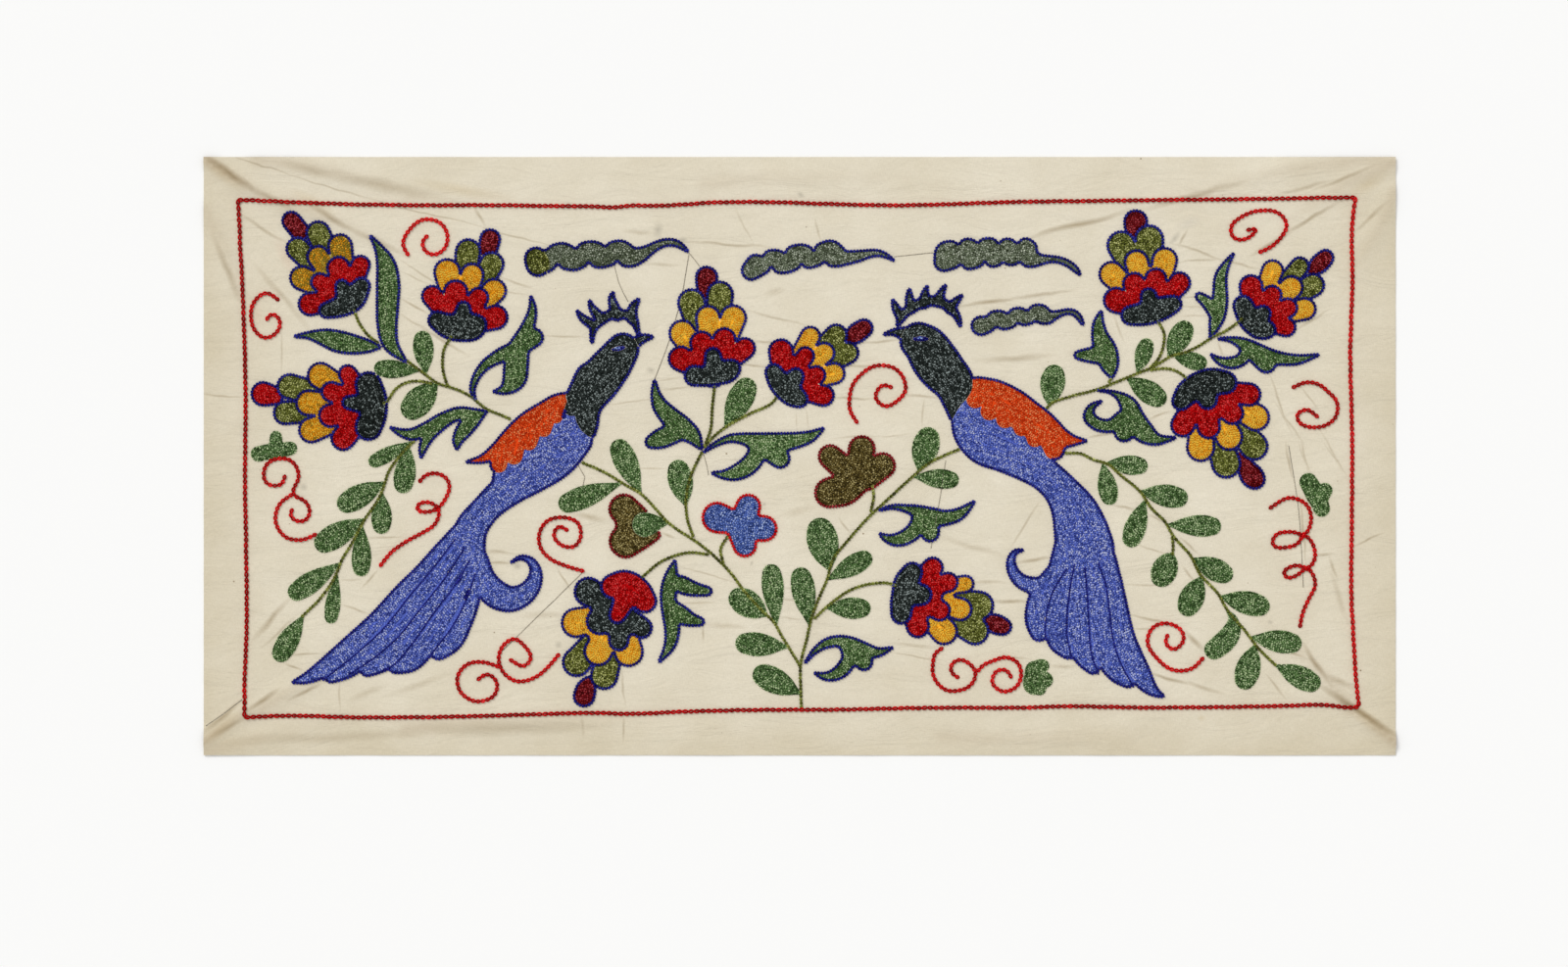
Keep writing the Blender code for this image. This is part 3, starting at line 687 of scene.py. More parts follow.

# Each crease, drawn as painted shade on the cotton: both ends, half width and depth.
CREASES = (
    (205, 157, 266, 198, 3.6, 1.2), (256, 191, 296, 212, 3, 0.8), (316, 209, 364, 237, 3, 1),
    (352, 231, 416, 261, 3, 0.7), (290, 167, 350, 181, 5, 0.6), (330, 176, 448, 201, 6, 0.7),
    (236, 159, 302, 181, 1, 0.8), (296, 179, 380, 204, 1, 0.8), (374, 202, 496, 233, 1, 0.8),
    (488, 231, 562, 251, 1, 0.8), (220, 246, 245, 304, 3.2, 0.8), (246, 220, 291, 247, 1.9, 0.8),
    (262, 272, 314, 334, 3, 0.6), (287, 336, 287, 380, 1, 0.6), (409, 266, 455, 294, 1.1, 0.7),
    (409, 305, 436, 319, 1.3, 1), (407, 321, 442, 339, 1.2, 0.7), (430, 334, 475, 361, 1.8, 0.9),
    (408, 277, 438, 289, 1, 0.6), (484, 213, 495, 230, 1.7, 0.9), (514, 282, 542, 294, 1.3, 0.8),
    (512, 296, 538, 301, 1, 0.6), (554, 343, 596, 344, 1.1, 0.8), (204, 402, 248, 406, 1.1, 0.9),
    (702, 248, 786, 252, 1.5, 0.9), (832, 225, 837, 246, 1.2, 0.7), (750, 214, 768, 248, 1, 0.5),
    (638, 236, 666, 237, 2.5, 0.6), (658, 269, 692, 271, 1.7, 0.6), (762, 316, 822, 333, 1.3, 0.7),
    (770, 349, 790, 348, 1.3, 0.9), (756, 372, 784, 374, 1.3, 0.9), (878, 351, 917, 346, 1.4, 0.9),
    (860, 372, 894, 374, 1.3, 0.8), (850, 406, 892, 407, 1.5, 1), (923, 404, 957, 406, 1.5, 0.9),
    (620, 412, 664, 408, 1.1, 0.7), (674, 398, 706, 394, 1.1, 0.7), (671, 389, 694, 385, 1, 0.6),
    (851, 447, 897, 445, 1.1, 0.6), (893, 445, 930, 443, 1, 0.5), (823, 416, 825, 438, 0.9, 0.5),
    (812, 421, 813, 438, 0.9, 0.5), (943, 409, 941, 434, 1.1, 0.7), (740, 470, 790, 472, 1, 0.4),
    (780, 300, 800, 296, 3, 0.4), (651, 477, 679, 478, 1.1, 0.7), (585, 525, 615, 530, 3, 0.8),
    (676, 543, 689, 548, 1.6, 0.9), (797, 525, 829, 518, 4, 0.4), (856, 529, 868, 543, 1.3, 0.8),
    (1059, 515, 1031, 557, 1.2, 0.8), (961, 549, 1025, 568, 3, 0.5), (1038, 575, 1072, 570, 2, 1.1),
    (1015, 612, 1049, 615, 2.1, 1.1), (799, 600, 818, 602, 1, 0.6), (796, 611, 814, 613, 1, 0.6),
    (796, 630, 819, 632, 1, 0.6), (695, 579, 749, 594, 1, 0.7), (695, 615, 729, 615, 1.3, 0.7),
    (721, 637, 759, 641, 2.6, 0.5), (717, 638, 718, 654, 1.3, 0.8), (911, 667, 959, 674, 1.1, 0.7),
    (911, 657, 955, 661, 2, 0.6), (1021, 668, 1049, 673, 1.4, 0.7), (635, 686, 638, 718, 1.3, 0.8),
    (636, 732, 636, 756, 1.3, 0.8), (593, 731, 595, 752, 2, 0.6), (991, 593, 1025, 595, 1.6, 0.7),
    (1073, 680, 1095, 681, 2, 0.7), (261, 649, 292, 615, 3, 1), (269, 659, 302, 629, 1.6, 0.7),
    (253, 724, 283, 704, 2.6, 1.2), (207, 749, 245, 716, 2.6, 1.1), (218, 751, 250, 732, 2.6, 0.8),
    (298, 713, 327, 699, 1.9, 1.1), (347, 696, 347, 722, 1, 0.7), (398, 708, 456, 689, 3, 0.5),
    (358, 714, 392, 700, 3, 0.5), (375, 550, 415, 547, 1.1, 0.8), (369, 598, 384, 582, 1.3, 0.9),
    (351, 618, 376, 625, 1.2, 0.9), (298, 668, 325, 668, 1.2, 0.9), (292, 677, 308, 684, 1.3, 1),
    (348, 592, 369, 590, 1, 0.6), (495, 573, 522, 575, 1.5, 1), (495, 562, 522, 565, 2, 0.8),
    (531, 628, 579, 627, 3, 0.5), (569, 581, 581, 602, 1.2, 0.9), (430, 745, 600, 742, 6, 0.6),
    (240, 757, 440, 748, 5, 0.5), (1312, 455, 1319, 489, 1.3, 0.9), (1325, 455, 1338, 484, 1.4, 0.6),
    (1352, 455, 1374, 484, 1.1, 0.7), (1326, 511, 1333, 577, 1.3, 0.9), (1342, 567, 1358, 565, 1.7, 0.9),
    (1356, 569, 1364, 590, 1.7, 0.8), (1359, 586, 1374, 632, 3, 0.5), (1384, 557, 1410, 545, 1.2, 1),
    (1148, 597, 1195, 597, 1.1, 0.6), (1172, 526, 1188, 534, 1.2, 0.8), (1137, 516, 1159, 522, 1.4, 0.9),
    (1161, 556, 1192, 566, 1.1, 0.7), (1206, 549, 1224, 566, 1.3, 0.9), (1206, 579, 1219, 593, 1.5, 0.9),
    (1155, 627, 1195, 638, 1.5, 1), (1159, 642, 1174, 642, 1.2, 0.8), (1211, 645, 1227, 664, 2.6, 1.1),
    (1173, 687, 1212, 699, 1.7, 1.2), (1208, 697, 1246, 708, 2.1, 0.8), (1178, 679, 1209, 689, 1.1, 0.6),
    (1331, 660, 1355, 695, 2.6, 1.2), (1350, 689, 1380, 701, 3, 0.8), (1350, 701, 1426, 752, 3.4, 1.5),
    (1301, 662, 1331, 671, 1.3, 0.9), (1292, 689, 1311, 711, 1.3, 0.8), (1055, 241, 1145, 217, 2.8, 1.2),
    (1171, 214, 1264, 186, 3.2, 0.9), (983, 312, 1037, 305, 2, 1.2), (1030, 306, 1093, 295, 2, 0.9),
    (1311, 239, 1362, 209, 2.1, 1.1), (1278, 261, 1315, 239, 2.1, 1), (1385, 236, 1413, 208, 2.1, 0.8),
    (1341, 194, 1398, 171, 2.1, 0.9), (1308, 198, 1362, 183, 2.1, 0.7), (1199, 249, 1249, 267, 1.5, 0.9),
    (1245, 266, 1282, 274, 1.3, 0.8), (1201, 268, 1245, 265, 1.1, 0.8), (1001, 368, 1070, 363, 3, 0.8),
    (1296, 385, 1316, 439, 1.2, 0.8), (1302, 412, 1329, 452, 1.3, 0.7), (1327, 449, 1335, 482, 1.3, 0.7),
    (1329, 396, 1344, 418, 1.1, 0.7), (1349, 442, 1368, 479, 1.1, 0.6), (1172, 428, 1195, 419, 1.3, 0.9),
    (1112, 447, 1132, 443, 1.3, 0.9), (1211, 235, 1203, 251, 1.5, 0.9), (1322, 338, 1354, 317, 1.6, 0.7),
    (1137, 324, 1146, 347, 1.2, 0.6), (1203, 303, 1238, 305, 1, 0.6), (1203, 312, 1237, 314, 1, 0.6),
    (1204, 322, 1236, 322, 1, 0.6), (1243, 348, 1248, 363, 1.2, 0.7),
)

# Each smudge: its middle, half length, half width, turn in degrees and tint.
SMUDGES = (
    (292, 262, 26, 9, 62, Tint.PINK),
    (262, 320, 18, 7, 70, Tint.PINK),
    (1199, 243, 9, 4, -50, Tint.GREY),
    (1212, 228, 16, 7, -20, Tint.BLUE),
    (671.5, 235, 6, 9.5, 10, Tint.GREY),
    (697, 245, 5, 4, 0, Tint.GREY),
    (817, 199, 5.5, 3.4, 30, Tint.GREY),
    (528, 578, 5, 5, 0, Tint.GREY),
    (664, 378, 6, 4.5, 20, Tint.GREY),
    (570, 658, 4.5, 4.5, 0, Tint.GREY),
    (310, 497, 5, 5, 0, Tint.GREY),
    (1226, 733, 5, 4, 0, Tint.TAN),
    (780, 515, 2.4, 2.4, 0, Tint.GREY),
    (767, 575, 2, 4, 20, Tint.GREY),
    (1296, 635, 4, 2.4, 0, Tint.GREY),
    (960, 404, 6, 2, 0, Tint.GREY),
    (318, 206, 30, 8, 28, Tint.TAN),
    (226, 176, 34, 9, 38, Tint.TAN),
    (228, 742, 30, 8, -40, Tint.TAN),
    (1398, 736, 34, 9, 34, Tint.TAN),
    (1396, 188, 30, 9, -32, Tint.TAN),
    (470, 194, 60, 8, 10, Tint.TAN),
)

LEAF_TONE = 0.45
# The leaf right of the middle fork is in a lighter lot of the green than the others.
LEAF_TONES = {5: 0.56}
JOINED_CLOUD_TONE = 0.42

# The folds of the solid part, in metres: both ends, bow, half width, and the height along the way.
FOLDS = (
    Fold(-0.497, 0.248, -0.428, 0.209, -0.002, 0.0055, 0.0030, 0.0034, 0.0012),
    Fold(-0.430, 0.212, -0.345, 0.173, 0.004, 0.0070, 0.0010, 0.0022, 0.0000),
    Fold(-0.455, 0.249, -0.318, 0.217, 0.004, 0.0080, 0.0012, 0.0018, 0.0000),
    Fold(-0.499, 0.205, -0.470, 0.132, 0.003, 0.0070, 0.0014, 0.0016, 0.0000),
    Fold(0.497, 0.246, 0.417, 0.201, -0.004, 0.0070, 0.0022, 0.0018, 0.0000),
    Fold(0.492, 0.249, 0.330, 0.221, -0.005, 0.0080, 0.0012, 0.0018, 0.0000),
    Fold(0.499, 0.222, 0.455, 0.150, 0.005, 0.0070, 0.0016, 0.0016, 0.0000),
    Fold(-0.499, -0.240, -0.447, -0.208, 0.003, 0.0055, 0.0026, 0.0024, 0.0010),
    Fold(-0.452, -0.212, -0.398, -0.184, 0.002, 0.0065, 0.0010, 0.0018, 0.0000),
    Fold(-0.498, -0.249, -0.395, -0.228, 0.003, 0.0075, 0.0010, 0.0014, 0.0000),
    Fold(0.499, -0.240, 0.460, -0.213, -0.001, 0.0050, 0.0036, 0.0034, 0.0018),
    Fold(0.462, -0.214, 0.384, -0.136, -0.006, 0.0065, 0.0016, 0.0022, 0.0000),
    Fold(-0.330, -0.229, -0.160, -0.222, 0.003, 0.0080, 0.0000, 0.0018, 0.0000),
    Fold(0.120, -0.236, 0.300, -0.231, -0.003, 0.0080, 0.0000, 0.0013, 0.0000),
    Fold(-0.080, 0.229, 0.090, 0.233, 0.003, 0.0080, 0.0000, 0.0012, 0.0000),
)
FOLD_REACH = 2.1

# In pixels: how far a leaf's foot runs on past its placed base, and how far off its stem may be.
LEAF_FOOT = 3.0
STEM_REACH = 11.0
# A leaf's rows of stitches swell it a little past its placed width.
LEAF_FULLNESS = 1.08
# A leaf's last point is this share of its half width short of its far end, and has this share of its width.
LEAF_TIP = 0.86
# In pixels: the least half width of a leaf.
LEAST_LEAF_HALF_WIDTH = 0.75

# In millimetres: the least gap between placed points, and the least half width of a smoothed stroke.
LEAST_GAP = 0.2
LEAST_HALF_WIDTH = 0.25

# A crease fades out beyond its placed ends and sides, and is fainter for it.
CREASE_STRETCH = 1.35
CREASE_SPREAD = 1.45
CREASE_STRENGTH = 0.8


def on_cloth(points: Points) -> Points:
    """Turn pixels of the photograph into millimetres from the cloth's middle, with +Y up the cloth.

    Args:
        points: Points of the layout, with or without a half width.

    Returns:
        The same points in millimetres.
    """
    left, top = PHOTO_MIDDLE
    return [((x - left) * PIXEL, (top - y) * PIXEL, *(w * PIXEL for w in width)) for x, y, *width in points]


def nearest_on_stems(x: float, y: float, reach: float) -> tuple[float, float]:
    """Find the place on a stem that a leaf's base should grow from.

    Args:
        x: Where the base was placed.
        y: The same, from the top.
        reach: How far off a stem may be.

    Returns:
        The nearest place on a stem, or the base itself if no stem is within reach.
    """
    best = (reach, x, y)
    for stem in STEMS:
        for (ax, ay), (bx, by) in zip(stem, stem[1:]):
            run = (bx - ax) ** 2 + (by - ay) ** 2
            share = min(max(((x - ax) * (bx - ax) + (y - ay) * (by - ay)) / run, 0.0), 1.0)
            on_x, on_y = ax + share * (bx - ax), ay + share * (by - ay)
            best = min(best, (math.hypot(x - on_x, y - on_y), on_x, on_y))
    return best[1:]


def linear(colour: Colour) -> tuple[float, float, float, float]:
    """Turn a screen colour into the linear one a shader takes.

    Args:
        colour: Red, green and blue from 0 to 255.

    Returns:
        The linear colour, with an alpha of 1.
    """
    parts = [c / 255 for c in colour]
    return (*[p / 12.92 if p <= 0.04045 else ((p + 0.055) / 1.055) ** 2.4 for p in parts], 1.0)


def smooth_path(points: Points, step: float) -> np.ndarray:
    """Draw one even curve through given points.

    Args:
        points: The points, with or without a half width.
        step: The spacing wanted along the curve.

    Returns:
        The points of the curve, one row each.
    """
    fixed = np.asarray(points, float)
    if len(fixed) == 1:
        return fixed
    gaps = np.maximum(np.hypot(*(fixed[1:, :2] - fixed[:-1, :2]).T), LEAST_GAP)
    at = np.concatenate([[0.0], np.cumsum(gaps)])
    fine = np.linspace(0, at[-1], max(2, math.ceil(at[-1] / step) + 1))
    if len(fixed) == 2:
        return fixed[0] + (fixed[1] - fixed[0]) * (fine / at[-1])[:, None]
    slope = np.gradient(fixed, at, axis=0)
    k = np.clip(np.searchsorted(at, fine, side="right") - 1, 0, len(fixed) - 2)
    run = (at[k + 1] - at[k])[:, None]
    s = (fine[:, None] - at[k][:, None]) / run
    curve = (
        (2 * s**3 - 3 * s**2 + 1) * fixed[k]
        + (s**3 - 2 * s**2 + s) * run * slope[k]
        + (3 * s**2 - 2 * s**3) * fixed[k + 1]
        + (s**3 - s**2) * run * slope[k + 1]
    )
    if curve.shape[1] == 3:
        curve[:, 2] = np.maximum(curve[:, 2], LEAST_HALF_WIDTH)
    return curve


def even_nodes(points: np.ndarray, pitch: float) -> np.ndarray:
    """Space nodes evenly along a line.

    Args:
        points: The line's points.
        pitch: The spacing wanted.

    Returns:
        The nodes, both ends among them.
    """
    gaps = np.hypot(*(points[1:, :2] - points[:-1, :2]).T)
    at = np.concatenate([[0.0], np.cumsum(gaps)])
    count = max(1, round(at[-1] / pitch))
    wanted = np.linspace(0, at[-1], count + 1)
    return np.column_stack([np.interp(wanted, at, points[:, k]) for k in range(2)])


def spray_leaf(base_x: float, base_y: float, end_x: float, end_y: float, half_width: float) -> Points:
    """Shape a plain leaf: a thin base that swells to a round end.

    Args:
        base_x: Where it was placed to start, near its stem.
        base_y: The same, from the top.
        end_x: The far end.
        end_y: The same, from the top.
        half_width: Half its greatest width, as placed.

    Returns:
        One stroke.
    """
    length = math.hypot(end_x - base_x, end_y - base_y)
    back = LEAF_FOOT / length
    foot = (base_x - (end_x - base_x) * back, base_y - (end_y - base_y) * back)
    met = nearest_on_stems(*foot, STEM_REACH)
    base_x, base_y = (base_x, base_y) if met == foot else met
    length = math.hypot(end_x - base_x, end_y - base_y)
    half_width *= LEAF_FULLNESS
    last = 1 - LEAF_TIP * half_width / length
    shares = ((0.0, 0.09), (0.2 * last, 0.38), (0.5 * last, 0.83), (0.82 * last, 1.0), (last, LEAF_TIP))
    return [
        (
            base_x + (end_x - base_x) * t,
            base_y + (end_y - base_y) * t,
            max(LEAST_LEAF_HALF_WIDTH, half_width * w),
        )
        for t, w in shares
    ]


class Plot:
    """A square net of points over part of the cloth, on which distances from strokes are kept."""

    STEP = 0.5
    NOT_QUITE_ZERO = 1e-6

    def __init__(self, strokes: Iterable[np.ndarray], margin: float = 3.0) -> None:
        """Lay the net over some strokes.

        Args:
            strokes: The strokes that it has to cover.
            margin: How far it reaches past them.
        """
        every = np.vstack([s for s in strokes])
        low = (every[:, :2] - every[:, 2:3]).min(axis=0) - margin
        high = (every[:, :2] + every[:, 2:3]).max(axis=0) + margin
        self.low, self.high = low, high
        self.x = np.arange(low[0], high[0] + self.STEP, self.STEP)
        self.y = np.arange(low[1], high[1] + self.STEP, self.STEP)

    def touches(self, other: "Plot") -> bool:
        """Tell whether two nets overlap."""
        return bool((self.low < other.high).all() and (other.low < self.high).all())

    def field(self, strokes: Iterable[np.ndarray], reach: float) -> np.ndarray:
        """Measure how far each point of the net is outside the strokes.

        Args:
            strokes: The strokes, each point with its half width.
            reach: The distance past which nothing is measured.

        Returns:
            Distances, negative inside a stroke and at most reach outside.
        """
        values = np.full((len(self.y), len(self.x)), reach)
        for path in strokes:
            for a, b in zip(path[:-1], path[1:]) if len(path) > 1 else ((path[0], path[0]),):
                wide = max(a[2], b[2]) + reach
                i0, i1 = np.searchsorted(self.x, (min(a[0], b[0]) - wide, max(a[0], b[0]) + wide))
                j0, j1 = np.searchsorted(self.y, (min(a[1], b[1]) - wide, max(a[1], b[1]) + wide))
                if i0 == i1 or j0 == j1:
                    continue
                x, y = self.x[None, i0:i1], self.y[j0:j1, None]
                run_x, run_y = b[0] - a[0], b[1] - a[1]
                run = run_x * run_x + run_y * run_y or 1.0
                share = np.clip(((x - a[0]) * run_x + (y - a[1]) * run_y) / run, 0, 1)
                away = np.hypot(x - a[0] - share * run_x, y - a[1] - share * run_y)
                away -= a[2] + share * (b[2] - a[2])
                view = values[j0:j1, i0:i1]
                np.minimum(view, away, out=view)
        return values

    def read(self, values: np.ndarray, points: np.ndarray) -> np.ndarray:
        """Read values of the net between its points.

        Args:
            values: The net's values.
            points: Where to read them.

        Returns:
            One value for each point.
        """
        fx = np.clip((points[:, 0] - self.x[0]) / self.STEP, 0, len(self.x) - 1.001)
        fy = np.clip((points[:, 1] - self.y[0]) / self.STEP, 0, len(self.y) - 1.001)
        i, j = fx.astype(int), fy.astype(int)
        u, v = fx - i, fy - j
        low = values[j, i] * (1 - u) + values[j, i + 1] * u
        high = values[j + 1, i] * (1 - u) + values[j + 1, i + 1] * u
        return low * (1 - v) + high * v

    def nearest(self, points: np.ndarray, margin: int) -> tuple[np.ndarray, np.ndarray]:
        """Find the column and the row of the net nearest to each point.

        Args:
            points: The points.
            margin: How many columns and rows at the rim of the net are left out.

        Returns:
            The columns and the rows.
        """
        i = np.round((points[:, 0] - self.x[0]) / self.STEP).astype(int)
        j = np.round((points[:, 1] - self.y[0]) / self.STEP).astype(int)
        return np.clip(i, margin, len(self.x) - margin - 1), np.clip(j, margin, len(self.y) - margin - 1)

    # For each pattern of inside corners: from which side of the cell to which a line runs.
    TURNS = {
        1: ((0, 3),), 2: ((1, 0),), 3: ((1, 3),), 4: ((2, 1),), 5: ((0, 3), (2, 1)), 6: ((2, 0),),
        7: ((2, 3),), 8: ((3, 2),), 9: ((0, 2),), 10: ((1, 0), (3, 2)), 11: ((1, 2),), 12: ((3, 1),),
        13: ((0, 1),), 14: ((3, 0),),
    }

    def level_lines(self, values: np.ndarray, level: float) -> list[np.ndarray]:
        """Follow the closed lines along which the net has one value.

        Args:
            values: The net's values, above the level all along its rim.
            level: The value to follow.

        Returns:
            Closed lines, the first point of each repeated at its end.
        """
        v = values - level
        v[v == 0] = self.NOT_QUITE_ZERO
        inside = (v < 0).astype(np.uint8)
        case = inside[:-1, :-1] + 2 * inside[:-1, 1:] + 4 * inside[1:, 1:] + 8 * inside[1:, :-1]
        wide = v.shape[1]
        shift = v.size
        after: dict[int, int] = {}
        for pattern, runs in self.TURNS.items():
            j, i = np.nonzero(case == pattern)
            if not len(j):
                continue
            node = j * wide + i
            sides = (node, node + 1 + shift, node + wide, node + shift)
            for start, end in runs:
                after.update(zip(sides[start].tolist(), sides[end].tolist()))
        loops = []
        while after:
            first, here = after.popitem()
            ids = [first]
            while here != first and here in after:
                ids.append(here)
                here = after.pop(here)
            ids.append(first)
            ids = np.array(ids)
            up = ids >= shift
            node = ids - shift * up
            j, i = node // wide, node % wide
            near = v[j, i]
            far = np.where(up, v[np.minimum(j + 1, v.shape[0] - 1), i], v[j, np.minimum(i + 1, wide - 1)])
            t = near / (near - far)
            x = self.x[i] + self.STEP * np.where(up, 0, t)
            y = self.y[j] + self.STEP * np.where(up, t, 0)
            loops.append(np.column_stack([x, y]))
        return loops


def kept_runs(loop: np.ndarray, keep: np.ndarray, shortest: float) -> list[np.ndarray]:
    """Cut a closed line to the stretches that stay.

    Args:
        loop: The closed line.
        keep: Whether each of its points stays.
        shortest: The least length of a stretch.

    Returns:
        The stretches, or the whole line if all of it stays.
    """
    def long_enough(run: np.ndarray) -> bool:
        """Tell whether a stretch is worth sewing."""
        return len(run) > 1 and np.hypot(*(run[1:] - run[:-1]).T).sum() >= shortest

    if keep.all():
        return [loop] if long_enough(loop) else []
    if not keep.any():
        return []
    body, flags = loop[:-1], keep[:-1]
    start = int(np.argmin(flags))
    body, flags = np.roll(body, -start, axis=0), np.roll(flags, -start)
    edges = np.flatnonzero(np.diff(np.concatenate([[False], flags, [False]]).astype(int)))
    return [r for r in (body[a:b] for a, b in zip(edges[::2], edges[1::2])) if long_enough(r)]


def make_object(name: str, points: np.ndarray, corners: np.ndarray, uv: np.ndarray) -> bpy.types.Object:
    """Make a mesh object of triangles.

    Args:
        name: The piece's name.
        points: Its points, in millimetres.
        corners: Three point numbers for each triangle.
        uv: A place on the finish map for each point.

    Returns:
        The new object, smooth shaded.
    """
    mesh = bpy.data.meshes.new(name)
    mesh.vertices.add(len(points))
    mesh.vertices.foreach_set("co", (points * MM).astype(np.float32).ravel())
    mesh.loops.add(corners.size)
    mesh.loops.foreach_set("vertex_index", corners.astype(np.int32).ravel())
    mesh.polygons.add(len(corners))
    mesh.polygons.foreach_set("loop_start", np.arange(0, corners.size, 3, dtype=np.int32))
    mesh.update(calc_edges=True)
    mesh.polygons.foreach_set("use_smooth", np.ones(len(corners), bool))
    layer = mesh.uv_layers.new(name=FINISH_MAP)
    layer.data.foreach_set("uv", uv[corners.ravel()].astype(np.float32).ravel())
    mesh.validate()
    piece = bpy.data.objects.new(name, mesh)
    bpy.context.scene.collection.objects.link(piece)
    return piece


class Nodes:
    """A short hand for a material's nodes."""

    def __init__(self, name: str) -> None:
        """Start a material with its shader.

        Args:
            name: The material's name.
        """
        self.material = bpy.data.materials.new(name)
        self.material.use_nodes = True
        self.tree = self.material.node_tree
        self.shader = self.tree.nodes["Principled BSDF"]

    def add(self, kind: str, **settings: object) -> bpy.types.Node:
        """Add a node and set its options and plain inputs.

        Args:
            kind: The kind of node.
            settings: Its options by name, and its inputs by number as in_0, in_1 and so on.

        Returns:
            The node.
        """
        node = self.tree.nodes.new(kind)
        for key, value in settings.items():
            if key.startswith("in_"):
                node.inputs[int(key[3:])].default_value = value
            else:
                setattr(node, key, value)
        return node

    def link(self, out: bpy.types.NodeSocket, into: bpy.types.NodeSocket) -> None:
        """Join two sockets."""
        self.tree.links.new(out, into)

    def math(self, operation: str, first: object, second: object = 0.0) -> bpy.types.NodeSocket:
        """Work out a value from sockets or numbers.

        Args:
            operation: The sum to do.
            first: Its first socket or number.
            second: Its second one.

        Returns:
            The result's socket.
        """
        node = self.add("ShaderNodeMath", operation=operation)
        for socket, value in zip(node.inputs, (first, second)):
            if isinstance(value, (int, float)):
                socket.default_value = value
            else:
                self.link(value, socket)
        return node.outputs[0]

    def ramp(
        self, value: bpy.types.NodeSocket, stops: Sequence[tuple[float, tuple]],
    ) -> bpy.types.NodeSocket:
        """Turn a value into a colour along stops.

        Args:
            value: The value's socket.
            stops: The place and the colour of each stop.

        Returns:
            The colour's socket.
        """
        node = self.add("ShaderNodeValToRGB")
        ramp = node.color_ramp
        while len(ramp.elements) < len(stops):
            ramp.elements.new(0.5)
        for element, (place, colour) in zip(ramp.elements, stops):
            element.position = place
            element.color = colour
        self.link(value, node.inputs[0])
        return node.outputs[0]

    def mix(
        self, share: object, first: object, second: object, blend: str = "MIX",
    ) -> bpy.types.NodeSocket:
        """Mix two colours.

        Args:
            share: How much of the second one there is, as a socket or a number.
            first: The first colour or its socket.
            second: The second one.
            blend: The way of mixing.

        Returns:
            The mixed colour's socket.
        """
        node = self.add("ShaderNodeMix", data_type="RGBA", blend_type=blend)
        for index, value in ((0, share), (6, first), (7, second)):
            if isinstance(value, (int, float, tuple)):
                node.inputs[index].default_value = value
            else:
                self.link(value, node.inputs[index])
        return node.outputs[2]


@dataclass(frozen=True)
class SilkFinish:
    """Floss silk: each strand has a shade of its own between a dark, a middle and a light one, with painted
    glints and dark specks over it and painted shade towards its ends.
    """

    thread: Thread
    dark: Colour
    middle: Colour
    light: Colour
    roughness: float = 0.46
    # How fine and how strong the painted glints and dark specks of the floss are.
    glint_scale: float = 900.0
    glint_contrast: float = 1.25

    def material(self) -> bpy.types.Material:
        """Build the silk's material, or find it if it is there already.

        Returns:
            The material.
        """
        name = f"{self.thread.value}_strand"
        found = bpy.data.materials.get(name)
        if found:
            return found
        nodes = Nodes(name)
        place = nodes.add("ShaderNodeTexCoord")
        split = nodes.add("ShaderNodeSeparateXYZ")
        nodes.link(place.outputs["UV"], split.inputs[0])
        # Painted highlights and dark specks: a fine noise lifts or lowers the shade of each spot, standing in
        # for glints on the twisted floss and the shade between.
        floss = nodes.add("ShaderNodeTexNoise", in_2=self.glint_scale, in_3=1.0, in_4=0.5)
        nodes.link(place.outputs["Object"], floss.inputs[0])
        glint = nodes.math("MULTIPLY", nodes.math("SUBTRACT", floss.outputs[0], 0.5), self.glint_contrast)
        base = nodes.ramp(nodes.math("ADD", split.outputs[0], glint), (
            (0.0, linear(self.dark)), (0.5, linear(self.middle)), (1.0, linear(self.light))
        ))
        # Painted shade: each strand is darker towards both ends, where it dips into the cloth.
        shaded = nodes.ramp(split.outputs[1], (
            (0.0, (0.75, 0.75, 0.75, 1)), (0.4, (1, 1, 1, 1)),
            (0.75, (1, 1, 1, 1)), (1.0, (0.8, 0.8, 0.8, 1)),
        ))
        nodes.link(nodes.mix(1.0, base, shaded, "MULTIPLY"), nodes.shader.inputs["Base Color"])
        nodes.shader.inputs["Roughness"].default_value = self.roughness
        nodes.shader.inputs["Specular IOR Level"].default_value = 0.5
        nodes.shader.inputs["Specular Tint"].default_value = linear(self.light)
        return nodes.material


SILKS = {
    s.thread: s
    for s in (
        SilkFinish(Thread.NAVY, (8, 6, 74), (30, 28, 128), (78, 84, 190)),
        SilkFinish(Thread.BLUE, (26, 38, 134), (106, 132, 236), (224, 230, 255)),
        SilkFinish(Thread.SKY, (24, 50, 124), (110, 142, 228), (208, 224, 255)),
        SilkFinish(Thread.LEAF, (20, 48, 4), (108, 148, 84), (218, 234, 186)),
        SilkFinish(Thread.OLIVE, (34, 36, 0), (132, 140, 58), (228, 230, 156)),
        SilkFinish(Thread.GREY_GREEN, (38, 48, 20), (130, 142, 116), (220, 226, 208)),
        SilkFinish(Thread.BOTTLE, (0, 2, 0), (46, 55, 52), (176, 188, 186), glint_contrast=0.9),
        SilkFinish(Thread.GOLD, (138, 127, 48), (255, 168, 16), (255, 224, 92), glint_contrast=0.95),
        SilkFinish(Thread.RED, (122, 0, 0), (224, 2, 12), (250, 88, 88)),
        SilkFinish(Thread.MAROON, (52, 0, 0), (136, 16, 22), (214, 92, 102)),
        SilkFinish(Thread.BROWN, (28, 14, 0), (118, 100, 46), (212, 196, 136)),
        SilkFinish(Thread.ORANGE, (196, 40, 0), (255, 88, 24), (255, 178, 116)),
        SilkFinish(Thread.COTTON, (128, 121, 110), (174, 166, 150), (206, 198, 182)),
    )
}


